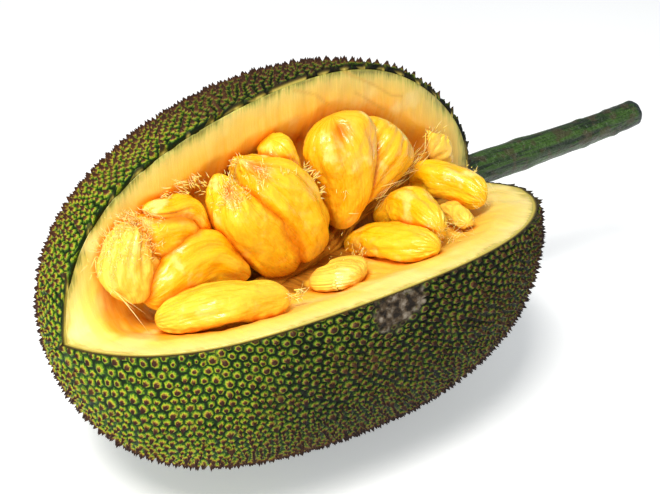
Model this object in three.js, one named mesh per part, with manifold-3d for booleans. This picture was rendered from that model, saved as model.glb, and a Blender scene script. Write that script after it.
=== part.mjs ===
// A ripe jackfruit lying on its side, with a long wedge cut out of its upper front quarter.
// Millimetres, +Z up, +X towards the stem, -Y towards the cut side.
// Every shape is worked out about the fruit's long axis; at the end the whole fruit is moved
// so that the middle of the flat spot it rests on is the origin.
import * as THREE from "three";
import { ConvexHull } from "three/addons/math/ConvexHull.js";
import { mergeVertices } from "three/addons/utils/BufferGeometryUtils.js";
import Module from "manifold-3d";

// The whole fruit.
const HALF_LENGTH = 174;
const RADIUS = 117;
const DENT_DEPTH = 10;
const DENT_SPREAD = 30;
const REST_DROP = 112;
const REST_CENTRE = { x: 13, y: 0 };

// The skin and its spines, which are larger than life.
const SPINE_COUNT = 1150;
const SPINE_HEIGHT = 5.5;
const SPINE_SHAKE = 4;
const SPINE_SETTLING = 3;
const SKIN_THICKNESS = 2.8;

// The cut and the flesh inside it. Angles are about the long axis, from +Y over +Z.
const UPPER_CUT_ANGLE = 88;
const UPPER_CUT_SWEEP = 5;
const LOWER_CUT_ANGLE = 166.5;
const FLESH_BAND = 29;
const ROOM_DEPTH = 9;

// The stem.
const STEM_ROOT_RADIUS = 13;
const STEM_TIP_RADIUS = 9.5;

// Clearance between pieces that touch.
const GAP = 0.3;

// How finely the smooth bodies are divided.
const BODY_RINGS = 18;
const BODY_SIDES = 24;
const BULB_BLUNTNESS = 5;
const BULB_RINGS = 10;
const BULB_SIDES = 12;
const WEDGE_STATIONS = 8;
const WEDGE_REACH = 320;
const STEM_SIDES = 12;
const STEM_RINGS = 9;
const CORE_SIDES = 7;
const CORE_RINGS = 9;

// Middle of the stem, from inside the fruit to its cut end.
const STEM_PATH = [
  [150, 23, -1],
  [166, 19.8, 0.4],
  [201, 12.8, 4.2],
  [264, 0.2, 10.3],
  [298, -6.6, 14.5],
  [328, -12.6, 19],
];

// Middle of the fibrous core, which shows between the bulbs of the two cut faces.
const CORE_PATH = [
  [-66, -28, 3],
  [-44, -20, 2],
  [-16, -14, 1],
  [22, -4, 1],
  [45, 3, 10],
  [74, 5, 18],
  [99, 6, 25],
  [124, 7, 35],
];
const CORE_RADIUS = 7.5;

// Fleshy bulbs, front ones first: each later one is cut back where it meets an earlier one.
// A path runs from the root at the core to the crown by the rind, and half-widths belong to even
// steps along it.
const BULBS = [
  { name: "bulb_left_front", face: "upper", wide: [5, 12, 17.5, 17.5, 16], deep: 16,
    path: [[-56, -12, 14], [-71, -14, 26], [-87, -14, 33], [-106, -14, 29], [-127, -15, 21]] },
  { name: "bulb_centre_left", face: "upper", wide: [12.5, 17, 17.5, 13.5, 5], deep: 16.5,
    path: [[-17, -13, 7], [-33, -15, 23], [-48, -16, 41], [-63, -15, 58], [-68, -12, 81]] },
  { name: "bulb_centre_right", face: "upper", wide: [14, 18, 20, 18, 4.5], deep: 19.5,
    path: [[-2, -11, 9], [-12, -13, 29], [-24, -13, 49], [-38, -12, 67], [-52, -8, 84]] },
  { name: "bulb_upper_left", face: "upper", wide: [5, 14, 21, 25, 25], deep: 16,
    path: [[22, -8, 17], [27, -10, 38], [28, -11, 57], [24, -10, 75], [21, -6, 92]] },
  { name: "bulb_upper_right", face: "upper", wide: [9, 14, 20, 24.5, 28], deep: 18.5,
    path: [[29, -2, 29], [42, -3, 39], [55, -2, 48], [67, -2, 57], [79, -1, 68]] },
  { name: "bulb_small_back", face: "upper", wide: [5, 6, 7.5, 9.5, 13], deep: 12,
    path: [[-1, -1, 53], [-8, -2, 61], [-14, -2, 70], [-19, -2, 79], [-23, -1, 87]] },
  { name: "bulb_left_back", face: "upper", wide: [4.5, 9.5, 15, 12.5, 9], deep: 12,
    path: [[-77, -4, 38], [-89, -5, 45], [-100, -6, 52], [-116, -6, 55], [-131, -5, 59]] },
  { name: "bulb_frayed", face: "upper", wide: [11, 15, 17.5, 14, 10], deep: 13,
    path: [[-129, -10, 21], [-130, -10, 32], [-131, -9, 43], [-129, -7, 54], [-124, -4, 65]] },
  { name: "bulb_front_long", face: "lower", wide: [4.5, 11, 16, 15, 12], deep: 11,
    path: [[-63, -68, 23], [-82, -59, 24.5], [-98, -51, 25], [-113, -42, 21.5], [-130, -31, 15.5]] },
  { name: "bulb_right_front", face: "lower", wide: [5, 11.5, 16, 14.5, 10], deep: 10,
    path: [[29, -12, 1], [31, -30, 12], [32, -47, 19], [33, -64, 23], [40, -84, 26]] },
  { name: "bulb_right_rear", face: "lower", wide: [8.5, 13, 15, 12, 11], deep: 15,
    path: [[54, -14, 10], [63, -25, 20.5], [63, -37, 27], [58, -52, 28], [53, -72, 28]] },
  { name: "bulb_stem_side", face: "lower", wide: [7, 12.5, 14, 9, 7], deep: 12,
    path: [[96, -1, 24], [103, -11, 28], [107, -23, 28.5], [110, -36, 28], [112, -55, 25.5]] },
  { name: "bulb_rim_small", face: "lower", wide: [6, 7, 7.5, 6.5, 6], deep: 5.5,
    path: [[97, -33, 14], [95, -40, 17], [92, -49, 19], [89, -57, 20], [84, -66, 22]] },
  { name: "bulb_fibrous", face: "lower", wide: [13, 18, 21, 18.5, 14.5], deep: 7,
    path: [[-25, -44, 10], [-21, -52, 14.5], [-15, -58, 17.5], [-12, -64, 18.5], [-9, -70, 18.5]] },
  { name: "flap_left", face: "upper", wide: [4, 6, 8.5, 5.5, 4], deep: 10,
    path: [[-74, -4, 42], [-81, -4, 53], [-89, -4, 63], [-102, -5, 67], [-116, -5, 70]] },
  { name: "flap_notch", face: "upper", wide: [7, 14.5, 16, 10, 4], deep: 4,
    path: [[115, 0, 36], [120, -1, 39], [124, -2, 41.5], [127.5, -1, 44], [131, 0, 46]] },
];

const SKIN_GREEN = new THREE.MeshStandardMaterial({ color: 0x4f6420, roughness: 0.75, flatShading: true });
const FLESH_YELLOW = new THREE.MeshStandardMaterial({ color: 0xf0c878, roughness: 0.6, flatShading: true });
const BULB_YELLOW = new THREE.MeshStandardMaterial({ color: 0xfbb91c, roughness: 0.4, flatShading: true });
const CORE_BROWN = new THREE.MeshStandardMaterial({ color: 0xb0772a, roughness: 0.8, flatShading: true });
const STEM_GREEN = new THREE.MeshStandardMaterial({ color: 0x24381f, roughness: 0.5, flatShading: true });

const wasm = await Module();
wasm.setup();

function seededRandom(seed) {
  let state = seed;
  return () => {
    state = (state * 1664525 + 1013904223) >>> 0;
    return state / 4294967296;
  };
}

function vector([x, y, z]) {
  return new THREE.Vector3(x, y, z);
}

// Radius of the fruit at s, from -1 at the free end to 1 at the stem, and at an angle about its axis.
function radiusAt(s, angle) {
  const taper = 1 + 0.071 * s + 0.053 * s * s - 0.2 * s ** 3;
  const bend = 0.171 * Math.cos(angle) * s * s;
  const oval = 0.016 * Math.sin(angle) + 0.018 * Math.cos(2 * angle);
  return RADIUS * Math.sqrt(Math.max(0, 1 - s * s)) * taper * (1 - bend + oval);
}

// Point on the fruit, moved outward along the normal of the plain ellipsoid.
function fruitPoint(s, angle, outward) {
  const r = radiusAt(s, angle);
  const y = r * Math.cos(angle);
  const z = r * Math.sin(angle);
  const dent = s > 0 ? DENT_DEPTH * Math.exp(-((r / DENT_SPREAD) ** 2)) : 0;
  const normal = new THREE.Vector3(s / HALF_LENGTH, y / RADIUS ** 2, z / RADIUS ** 2).normalize();
  return new THREE.Vector3(HALF_LENGTH * s - dent, y, z).addScaledVector(normal, outward);
}

function solidFrom(positions, triangles) {
  const geometry = new THREE.BufferGeometry();
  geometry.setAttribute("position", new THREE.Float32BufferAttribute(positions, 3));
  geometry.setIndex(triangles);
  const merged = mergeVertices(geometry, 1e-4);
  const mesh = new wasm.Mesh({
    numProp: 3,
    vertProperties: merged.attributes.position.array,
    triVerts: new Uint32Array(merged.index.array),
  });
  return new wasm.Manifold(mesh);
}

// Closed body through rings of points, each ring running counter-clockwise as seen from the last one.
function loft(rings) {
  const sides = rings[0].length;
  const positions = rings.flat().flatMap((p) => p.toArray());
  const triangles = [];
  for (let i = 0; i + 1 < rings.length; i++) {
    for (let j = 0; j < sides; j++) {
      const a = i * sides + j;
      const b = i * sides + ((j + 1) % sides);
      triangles.push(a, b, b + sides, a, b + sides, a + sides);
    }
  }
  for (const end of [0, rings.length - 1]) {
    const middle = positions.length / 3;
    const centre = new THREE.Vector3();
    rings[end].forEach((p) => centre.addScaledVector(p, 1 / sides));
    positions.push(...centre.toArray());
    for (let j = 0; j < sides; j++) {
      const a = end * sides + j;
      const b = end * sides + ((j + 1) % sides);
      triangles.push(...(end === 0 ? [middle, b, a] : [middle, a, b]));
    }
  }
  return solidFrom(positions, triangles);
}

// The fruit's smooth body, moved outward or, with a negative value, inward all over.
function smoothBody(outward) {
  const rings = [];
  for (let i = 0; i < BODY_RINGS; i++) {
    const s = -Math.cos((Math.PI * (i + 0.5)) / BODY_RINGS);
    const ring = [];
    for (let j = 0; j < BODY_SIDES; j++) {
      ring.push(fruitPoint(s, (2 * Math.PI * j) / BODY_SIDES, outward));
    }
    rings.push(ring);
  }
  return loft(rings);
}

// Nearest point of the plain ellipsoid along the line from its centre.
function ontoEllipsoid(p) {
  return p.clone().divideScalar(Math.hypot(p.x / HALF_LENGTH, p.y / RADIUS, p.z / RADIUS));
}

// The point of the fruit's surface that lies over a point of the plain ellipsoid.
function fruitPointOver(p, outward) {
  return fruitPoint(p.x / HALF_LENGTH, Math.atan2(p.z, p.y), outward);
}

// Points evenly spread over the plain ellipsoid in golden-angle turns, each shaken a little.
function spreadPoints() {
  const random = seededRandom(7);
  const steps = 500;
  const area = [0];
  for (let k = 1; k <= steps; k++) {
    const s = -1 + (2 * (k - 0.5)) / steps;
    area.push(area[k - 1] + Math.hypot(HALF_LENGTH * Math.sqrt(1 - s * s), RADIUS * s));
  }
  const goldenAngle = Math.PI * (3 - Math.sqrt(5));
  const points = [];
  let k = 0;
  for (let i = 0; i < SPINE_COUNT; i++) {
    const target = ((i + 0.5) / SPINE_COUNT) * area[steps];
    while (area[k + 1] < target) k++;
    const s = -1 + (2 * (k + (target - area[k]) / (area[k + 1] - area[k]))) / steps;
    const r = RADIUS * Math.sqrt(1 - s * s);
    const angle = i * goldenAngle;
    const shake = new THREE.Vector3(random() - 0.5, random() - 0.5, random() - 0.5);
    const point = new THREE.Vector3(HALF_LENGTH * s, r * Math.cos(angle), r * Math.sin(angle));
    points.push(ontoEllipsoid(point.addScaledVector(shake, SPINE_SHAKE)));
  }
  return points;
}

function edgesOf(face) {
  return [face.edge, face.edge.next, face.edge.prev];
}

// Moves every point to the middle of its neighbours, which settles them into even six-sided cells.
function settle(points) {
  const neighbours = new Map(points.map((p) => [p, new THREE.Vector3()]));
  for (const face of new ConvexHull().setFromPoints(points).faces) {
    edgesOf(face).forEach((edge) => neighbours.get(edge.tail().point).add(edge.head().point));
  }
  return points.map((p) => ontoEllipsoid(neighbours.get(p)));
}

// Spiny body: one apex for each spine, with valleys through the middles of the triangles
// that join neighbouring spines.
function spinyBody() {
  const random = seededRandom(11);
  let points = spreadPoints();
  for (let round = 0; round < SPINE_SETTLING; round++) points = settle(points);
  const number = new Map(points.map((p, i) => [p, i]));
  const positions = points.flatMap((p) =>
    fruitPointOver(p, SPINE_HEIGHT * (0.85 + 0.3 * random())).toArray(),
  );
  const faces = new ConvexHull().setFromPoints(points).faces;
  const valley = new Map();
  faces.forEach((face, f) => {
    const middle = new THREE.Vector3();
    edgesOf(face).forEach((edge) => middle.add(edge.head().point));
    positions.push(...fruitPointOver(ontoEllipsoid(middle), 0).toArray());
    valley.set(face, SPINE_COUNT + f);
  });
  const triangles = faces.flatMap((face) =>
    edgesOf(face).flatMap((edge) => [
      number.get(edge.tail().point),
      valley.get(edge.twin.face),
      valley.get(face),
    ]),
  );
  return solidFrom(positions, triangles);
}

// Wedge between the two cut faces, whose meeting line runs along the core.
// The faces are moved apart by `deeper` to give the room that the bulbs sit in.
function wedge(deeper) {
  const rings = [];
  for (let i = 0; i <= WEDGE_STATIONS; i++) {
    const s = -1.15 + (2.3 * i) / WEDGE_STATIONS;
    const upper = THREE.MathUtils.degToRad(UPPER_CUT_ANGLE - UPPER_CUT_SWEEP * s * s);
    const lower = THREE.MathUtils.degToRad(LOWER_CUT_ANGLE);
    const y = 1.4 + 5.6 * s + deeper;
    const z = 4.2 - 1.3 * s - deeper;
    const corner = (angle) =>
      new THREE.Vector3(
        HALF_LENGTH * s,
        y + WEDGE_REACH * Math.cos(angle),
        z + WEDGE_REACH * Math.sin(angle),
      );
    rings.push([
      new THREE.Vector3(HALF_LENGTH * s, y, z),
      corner(upper),
      corner((upper + lower) / 2),
      corner(lower),
    ]);
  }
  return loft(rings);
}

// Everything below the flat spot that the fruit rests on.
function groundBlock() {
  const size = 400;
  const geometry = new THREE.BoxGeometry(size, size, size).translate(0, 0, -REST_DROP - size / 2);
  return solidFrom(Array.from(geometry.attributes.position.array), Array.from(geometry.index.array));
}

// Smooth curve that passes its points at even steps of t.
function evenCurve(points) {
  return new THREE.CatmullRomCurve3(points, false, "catmullrom", 0.5);
}

// Tube along a smooth path. `shape` gives the two half-widths at t, from 0 to 1, and `facing`
// is the direction of the second one.
function tube(points, facing, rings, sides, shape, lengthen) {
  const curve = evenCurve(points);
  const sections = [];
  for (let i = 0; i < rings; i++) {
    const t = (1 - Math.cos((Math.PI * (i + 0.5)) / rings)) / 2;
    const centre = curve.getPoint(t);
    const along = curve.getTangent(t);
    centre.addScaledVector(along, lengthen * (2 * t - 1));
    const across = new THREE.Vector3().crossVectors(facing, along).normalize();
    const front = new THREE.Vector3().crossVectors(along, across);
    const [wide, deep] = shape(t);
    const section = [];
    for (let j = 0; j < sides; j++) {
      const a = (2 * Math.PI * j) / sides;
      const point = centre.clone().addScaledVector(across, wide * Math.cos(a));
      section.push(point.addScaledVector(front, deep * Math.sin(a)));
    }
    sections.push(section);
  }
  return loft(sections);
}

// A plump body with blunt ends.
function bulbBody(bulb, grow) {
  const facing = new THREE.Vector3(0, -1, 0);
  if (bulb.face === "lower") {
    facing.applyAxisAngle(new THREE.Vector3(1, 0, 0), THREE.MathUtils.degToRad(LOWER_CUT_ANGLE - 270));
  }
  const widths = evenCurve(bulb.wide.map((wide) => new THREE.Vector3(wide, 0, 0)));
  const shape = (t) => {
    const end = Math.sqrt(1 - Math.abs(2 * t - 1) ** BULB_BLUNTNESS);
    return [widths.getPoint(t).x * end + grow, bulb.deep * end + grow];
  };
  return tube(bulb.path.map(vector), facing, BULB_RINGS, BULB_SIDES, shape, grow);
}

function coreBody(grow) {
  const shape = (t) => {
    const r = CORE_RADIUS * (1 - 0.35 * t) + grow;
    return [r, r];
  };
  return tube(CORE_PATH.map(vector), new THREE.Vector3(0, -1, 0), CORE_RINGS, CORE_SIDES, shape, grow);
}

function stemBody(grow) {
  const shape = (t) => {
    const flare = 1.5 * Math.exp(-((t / 0.2) ** 2));
    const r = THREE.MathUtils.lerp(STEM_ROOT_RADIUS, STEM_TIP_RADIUS, t) + flare + grow;
    return [r, r];
  };
  return tube(STEM_PATH.map(vector), new THREE.Vector3(0, 0, 1), STEM_RINGS, STEM_SIDES, shape, grow);
}

// The largest single body of a solid, without loose scraps left by a cut.
function largestBody(solid) {
  return solid.decompose().reduce((best, body) => (body.volume() > best.volume() ? body : best));
}

function meshOf(name, solid, material) {
  const { numProp, vertProperties, triVerts } = largestBody(solid).getMesh();
  const positions = [];
  for (let i = 0; i < vertProperties.length; i += numProp) {
    positions.push(...vertProperties.subarray(i, i + 3));
  }
  const geometry = new THREE.BufferGeometry();
  geometry.setAttribute("position", new THREE.Float32BufferAttribute(positions, 3));
  geometry.setIndex(Array.from(triVerts));
  geometry.computeVertexNormals();
  const mesh = new THREE.Mesh(geometry, material);
  mesh.name = name;
  return mesh;
}

const fruit = new THREE.Group();
fruit.position.set(-REST_CENTRE.x, -REST_CENTRE.y, REST_DROP);

const cut = wedge(0);
const stemHole = stemBody(GAP);

const skin = spinyBody()
  .subtract(smoothBody(-SKIN_THICKNESS))
  .subtract(cut)
  .subtract(groundBlock())
  .subtract(stemHole);
fruit.add(meshOf("skin", skin, SKIN_GREEN));

fruit.add(meshOf("core", coreBody(0), CORE_BROWN));
let taken = coreBody(GAP);
for (const bulb of BULBS) {
  fruit.add(meshOf(bulb.name, bulbBody(bulb, 0).subtract(taken), BULB_YELLOW));
  taken = taken.add(bulbBody(bulb, GAP));
}

const room = smoothBody(-FLESH_BAND).intersect(wedge(ROOM_DEPTH));
const flesh = smoothBody(-SKIN_THICKNESS - GAP)
  .subtract(cut)
  .subtract(room)
  .subtract(taken)
  .subtract(stemHole);
fruit.add(meshOf("flesh", flesh, FLESH_YELLOW));
fruit.add(meshOf("stem", stemBody(0), STEM_GREEN));

export default fruit;
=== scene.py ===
"""Looks of a ripe jackfruit that lies on its side with a long wedge cut out of its upper front.

Shapes are worked out in millimetres about the fruit's long axis, with +X towards the stem, -Y
towards the cut side and +Z up, and are moved into the row frame when a mesh is made.
"""
import itertools
import logging
import math
from dataclasses import dataclass, replace
from enum import Enum

import bmesh
import bpy
import numpy as np
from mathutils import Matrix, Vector


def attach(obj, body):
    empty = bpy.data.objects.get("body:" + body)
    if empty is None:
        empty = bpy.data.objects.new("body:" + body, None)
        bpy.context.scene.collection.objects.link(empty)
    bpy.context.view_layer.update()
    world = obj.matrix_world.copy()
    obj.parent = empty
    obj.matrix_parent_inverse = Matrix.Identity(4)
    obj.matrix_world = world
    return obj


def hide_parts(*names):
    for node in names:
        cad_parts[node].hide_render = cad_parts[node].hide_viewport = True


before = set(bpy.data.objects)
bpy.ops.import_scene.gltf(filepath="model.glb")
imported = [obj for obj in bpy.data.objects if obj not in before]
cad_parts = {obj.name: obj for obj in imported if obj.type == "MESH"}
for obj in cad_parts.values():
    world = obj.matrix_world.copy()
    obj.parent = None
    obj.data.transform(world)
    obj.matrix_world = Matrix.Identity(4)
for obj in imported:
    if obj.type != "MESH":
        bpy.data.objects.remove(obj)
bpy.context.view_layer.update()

LOG = logging.getLogger("jackfruit")
Array = np.ndarray
Object = bpy.types.Object
Mesh = bpy.types.Mesh
Material = bpy.types.Material
Node = bpy.types.Node
Socket = bpy.types.NodeSocket
Colour = tuple[float, float, float]
Point = tuple[float, float, float]
Tone = Socket | Colour
Value = Socket | float | Colour

METRES = 0.001
BODY = "root"
REST_DROP = 112.0
REST_SHIFT = 13.0
PHOTO_SIZE = (660, 494)


# Numbers over whole arrays


def unit(v: Array) -> Array:
    """Vectors scaled to length one along the last axis."""
    return v / np.maximum(np.linalg.norm(v, axis=-1, keepdims=True), 1e-12)


def smoothstep(low: float | Array, high: float | Array, x: Array) -> Array:
    """Zero below low, one above high and 3t^2 - 2t^3 between them."""
    t = np.clip((x - low) / (high - low), 0.0, 1.0)
    return t * t * (3.0 - 2.0 * t)


def lattice_noise(p: Array, seed: int) -> Array:
    """Smooth noise from -1 to 1: random values at whole-number points, blended by 3t^2 - 2t^3.

    Args:
        p: Points, with their three coordinates on the last axis.
        seed: Picks another pattern.
    Returns:
        One value for each point.
    """
    corner = np.floor(p).astype(np.int64)
    part = p - corner
    part = part * part * (3.0 - 2.0 * part)
    total = np.zeros(p.shape[:-1])
    for step in itertools.product((0, 1), repeat=3):
        cell = corner + np.array(step)
        mixed = cell[..., 0] * 73856093 ^ cell[..., 1] * 19349663 ^ cell[..., 2] * 83492791
        mixed = (mixed ^ (seed * 2654435761)) & 0xFFFFFFFF
        mixed = ((mixed ^ (mixed >> 15)) * 2246822519) & 0xFFFFFFFF
        mixed = ((mixed ^ (mixed >> 13)) * 3266489917) & 0xFFFFFFFF
        value = ((mixed ^ (mixed >> 16)) & 0xFFFF) / 32767.5 - 1.0
        share = np.prod(np.where(np.array(step) == 1, part, 1.0 - part), axis=-1)
        total += value * share
    return total


def layered_noise(p: Array, seed: int, layers: int = 3) -> Array:
    """Lattice noise in layers, each twice as fine and half as strong as the last."""
    total = np.zeros(p.shape[:-1])
    for layer in range(layers):
        total += lattice_noise(p * 2.0**layer + 17.3 * layer, seed + layer) / 2.0**layer
    return total


# Meshes from arrays


def mesh_object(name: str, points: Array, triangles: Array) -> Object:
    """A linked object from points in fruit millimetres and triangles that face outwards.

    Args:
        name: Name of the object.
        points: Points, N by 3.
        triangles: Point numbers, M by 3, turned round where the closed body would be inside out.
    Returns:
        The object, at the origin, with its place in its mesh.
    """
    a, b, c = (points[triangles[:, k]] for k in range(3))
    if np.einsum("ij,ij->i", a, np.cross(b, c)).sum() < 0:
        triangles = triangles[:, ::-1]
    placed = (points + np.array([-REST_SHIFT, 0.0, REST_DROP])) * METRES
    mesh = bpy.data.meshes.new(name)
    mesh.vertices.add(len(placed))
    mesh.vertices.foreach_set("co", placed.astype(np.float32).ravel())
    mesh.loops.add(triangles.size)
    mesh.loops.foreach_set("vertex_index", np.ascontiguousarray(triangles, np.int32).ravel())
    mesh.polygons.add(len(triangles))
    mesh.polygons.foreach_set("loop_start", np.arange(0, triangles.size, 3, dtype=np.int32))
    mesh.update(calc_edges=True)
    mesh.shade_smooth()
    made = bpy.data.objects.new(name, mesh)
    bpy.context.scene.collection.objects.link(made)
    return made


def fruit_points(mesh: Mesh) -> Array:
    """A mesh's vertices in fruit millimetres."""
    flat = np.zeros(len(mesh.vertices) * 3, np.float32)
    mesh.vertices.foreach_get("co", flat)
    return flat.reshape(-1, 3).astype(float) / METRES - np.array([-REST_SHIFT, 0.0, REST_DROP])


def triangles_of(mesh: Mesh) -> Array:
    """The point numbers of a mesh's triangles."""
    mesh.calc_loop_triangles()
    flat = np.zeros(len(mesh.loop_triangles) * 3, np.int32)
    mesh.loop_triangles.foreach_get("vertices", flat)
    return flat.reshape(-1, 3)


def set_number(mesh: Mesh, name: str, values: Array) -> None:
    """Stores one number, or one vector, for each point of a mesh."""
    kind = "FLOAT" if values.ndim == 1 else "FLOAT_VECTOR"
    attribute = mesh.attributes.new(name, kind, "POINT")
    key = "value" if values.ndim == 1 else "vector"
    attribute.data.foreach_set(key, values.astype(np.float32).ravel())


def loft_triangles(rings: int, sides: int) -> Array:
    """Triangles that join rings of points into a tube, closed by a middle point at each end.

    Args:
        rings: Number of rings, whose points come ring after ring.
        sides: Points in each ring. The first end's middle point follows the rings, then the last's.
    Returns:
        Point numbers, M by 3.
    """
    i, j = np.meshgrid(np.arange(rings - 1), np.arange(sides), indexing="ij")
    a = (i * sides + j).ravel()
    b = (i * sides + (j + 1) % sides).ravel()
    wall = np.concatenate([np.stack([a, b, b + sides], 1), np.stack([a, b + sides, a + sides], 1)])
    k = np.arange(sides)
    after = (k + 1) % sides
    last = (rings - 1) * sides
    first_cap = np.stack([np.full(sides, rings * sides), after, k], 1)
    last_cap = np.stack([np.full(sides, rings * sides + 1), last + k, last + after], 1)
    return np.concatenate([wall, first_cap, last_cap])


def loft_points(grid: Array) -> Array:
    """The points of a ring grid, ring after ring, and the two middle points that close it."""
    ends = grid[[0, -1]].mean(axis=1)
    return np.concatenate([grid.reshape(-1, grid.shape[-1]), ends])


def lofted(name: str, grid: Array) -> Object:
    """A closed object from a grid of rings, with a middle point at each end."""
    return mesh_object(name, loft_points(grid), loft_triangles(*grid.shape[:2]))


def mark_grid(piece: Object, name: str, grid: Array) -> None:
    """Stores one number, or one vector, for each point of a lofted grid."""
    values = loft_points(grid.reshape(*grid.shape[:2], -1))
    set_number(piece.data, name, values if grid.ndim == 3 else values[:, 0])


def keep_largest_body(points: Array, triangles: Array) -> Array:
    """The triangles of the largest connected body.

    Every point takes the lowest number among the triangles around it, again and again, until
    nothing changes, so each body ends with one number of its own.
    """
    label = np.arange(len(points))
    while True:
        lowest = label[triangles].min(axis=1)
        spread = label.copy()
        for k in range(3):
            np.minimum.at(spread, triangles[:, k], lowest)
        spread = spread[spread]
        if np.array_equal(spread, label):
            break
        label = spread
    owner = label[triangles[:, 0]]
    return triangles[owner == np.bincount(owner).argmax()]


def cut_by(body: Object, cutters: list[Object]) -> None:
    """Takes the cutters away from a body, keeps its largest part and deletes the cutters."""
    for cutter in cutters:
        step = body.modifiers.new("cut", "BOOLEAN")
        step.operation = "DIFFERENCE"
        step.solver = "MANIFOLD"
        step.object = cutter
    bpy.context.view_layer.update()
    evaluated = body.evaluated_get(bpy.context.evaluated_depsgraph_get())
    cut = bpy.data.meshes.new_from_object(evaluated)
    body.modifiers.clear()
    points, triangles = fruit_points(cut), triangles_of(cut)
    triangles = keep_largest_body(points, triangles)
    used, renumbered = np.unique(triangles, return_inverse=True)
    kept = mesh_object(body.name, points[used], renumbered.reshape(-1, 3))
    body.data = kept.data
    for spare in [kept, *cutters]:
        bpy.data.objects.remove(spare)


# The form that every piece is worked out from


@dataclass(frozen=True)
class FruitForm:
    """The fruit's smooth body, a stretched, slightly bent egg about its long axis.

    A point has a place s along the axis, from -1 at the free end to 1 at the stem, and an angle
    about the axis, from +Y over +Z.
    """

    half_length: float = 174.0
    radius: float = 117.0
    taper: tuple[float, float, float] = (0.071, 0.053, -0.2)
    bend: float = 0.171
    oval: tuple[float, float] = (0.016, 0.018)
    dent_depth: float = 10.0
    dent_spread: float = 30.0

    def girth(self, s: Array, angle: Array) -> Array:
        """Share of the plain ellipsoid's radius: a cubic taper in s times a bend and an oval.

        The bend is a cosine of the angle times s^2, and the oval a sine and a double cosine.
        """
        taper = 1 + self.taper[0] * s + self.taper[1] * s**2 + self.taper[2] * s**3
        bend = self.bend * np.cos(angle) * s**2
        oval = self.oval[0] * np.sin(angle) + self.oval[1] * np.cos(2 * angle)
        return taper * (1 - bend + oval)

    def radius_at(self, s: Array, angle: Array) -> Array:
        """Distance of the surface from the long axis."""
        return self.radius * np.sqrt(np.clip(1 - s * s, 0, None)) * self.girth(s, angle)

    def dent(self, rho: Array) -> Array:
        """How far the stem end is dented at a distance rho from the axis, a bell curve."""
        return self.dent_depth * np.exp(-((rho / self.dent_spread) ** 2))

    def surface(self, s: Array, angle: Array, outward: float | Array = 0.0) -> Array:
        """Points of the surface, moved outward along the plain ellipsoid's normal."""
        r = self.radius_at(s, angle)
        y, z = r * np.cos(angle), r * np.sin(angle)
        x = self.half_length * s - np.where(s > 0, self.dent(r), 0.0)
        normal = unit(np.stack([s / self.half_length, y / self.radius**2, z / self.radius**2], -1))
        return np.stack([x, y, z], -1) + np.asarray(outward)[..., None] * normal

    def onto_ellipsoid(self, p: Array) -> Array:
        """Points moved along the line from the centre onto the plain ellipsoid."""
        scaled = p / np.array([self.half_length, self.radius, self.radius])
        return p / np.linalg.norm(scaled, axis=-1, keepdims=True)

    def over(self, p: Array, outward: float | Array = 0.0) -> Array:
        """Points of the surface that lie over points of the plain ellipsoid."""
        return self.surface(p[..., 0] / self.half_length, np.arctan2(p[..., 2], p[..., 1]), outward)

    def depth(self, p: Array) -> Array:
        """Depth of points below the surface, negative outside it.

        The point's share q of the way out to the surface, found in three rounds because the girth
        depends on it, and then (1 - q) over the slope of q.
        """
        rho = np.hypot(p[..., 1], p[..., 2])
        angle = np.arctan2(p[..., 2], p[..., 1])
        s = (p[..., 0] + np.where(p[..., 0] > 0, self.dent(rho), 0.0)) / self.half_length
        share = np.ones_like(s)
        for _ in range(3):
            reach = self.radius * self.girth(np.clip(s / share, -1, 1), angle)
            share = np.maximum(np.hypot(s, rho / reach), 1e-6)
        slope = np.hypot(s / self.half_length, rho / reach**2) / share
        return (1 - share) / slope

    def shrunk(self, depth: float) -> "FruitForm":
        """The same form with its skin moved in by a depth."""
        return replace(self, half_length=self.half_length - depth, radius=self.radius - depth)


@dataclass(frozen=True)
class CutForm:
    """The two cut faces, planes that meet in a line along the core and open towards the front.

    The meeting line's y and z change evenly with s. Angles are in degrees from +Y over +Z.
    """

    line_y: tuple[float, float] = (1.4, 5.6)
    line_z: tuple[float, float] = (4.2, -1.3)
    upper_angle: float = 88.0
    upper_sweep: float = 5.0
    lower_angle: float = 166.5
    cutter_reach: float = 320.0

    def line(self, s: Array) -> tuple[Array, Array]:
        """The y and z of the meeting line."""
        return self.line_y[0] + self.line_y[1] * s, self.line_z[0] + self.line_z[1] * s

    def directions(self, s: Array) -> tuple[Array, Array]:
        """The directions in which the upper and the lower face leave the line, as angles."""
        upper = np.radians(self.upper_angle - self.upper_sweep * s * s)
        return upper, np.full_like(upper, math.radians(self.lower_angle))

    def lower_normal(self) -> Array:
        """The direction that the lower face looks in."""
        angle = math.radians(self.lower_angle)
        return np.array([0.0, math.sin(angle), -math.cos(angle)])

    def cutter(self, name: str, form: FruitForm, wider: float) -> Object:
        """A closed wedge between the faces, wider by a little all over, to cut pieces with."""
        s = np.linspace(-1.15, 1.15, 24)
        upper, lower = self.directions(s)
        y, z = self.line(s)
        start = np.stack([form.half_length * s, y + wider, z - wider], -1)
        ring = [start]
        for angle in (upper, (upper + lower) / 2, lower):
            way = np.stack([0 * s, np.cos(angle), np.sin(angle)], -1)
            ring.append(start + self.cutter_reach * way)
        return lofted(name, np.stack(ring, axis=1))


FRUIT = FruitForm()
CUT = CutForm()


# Finishes


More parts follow.
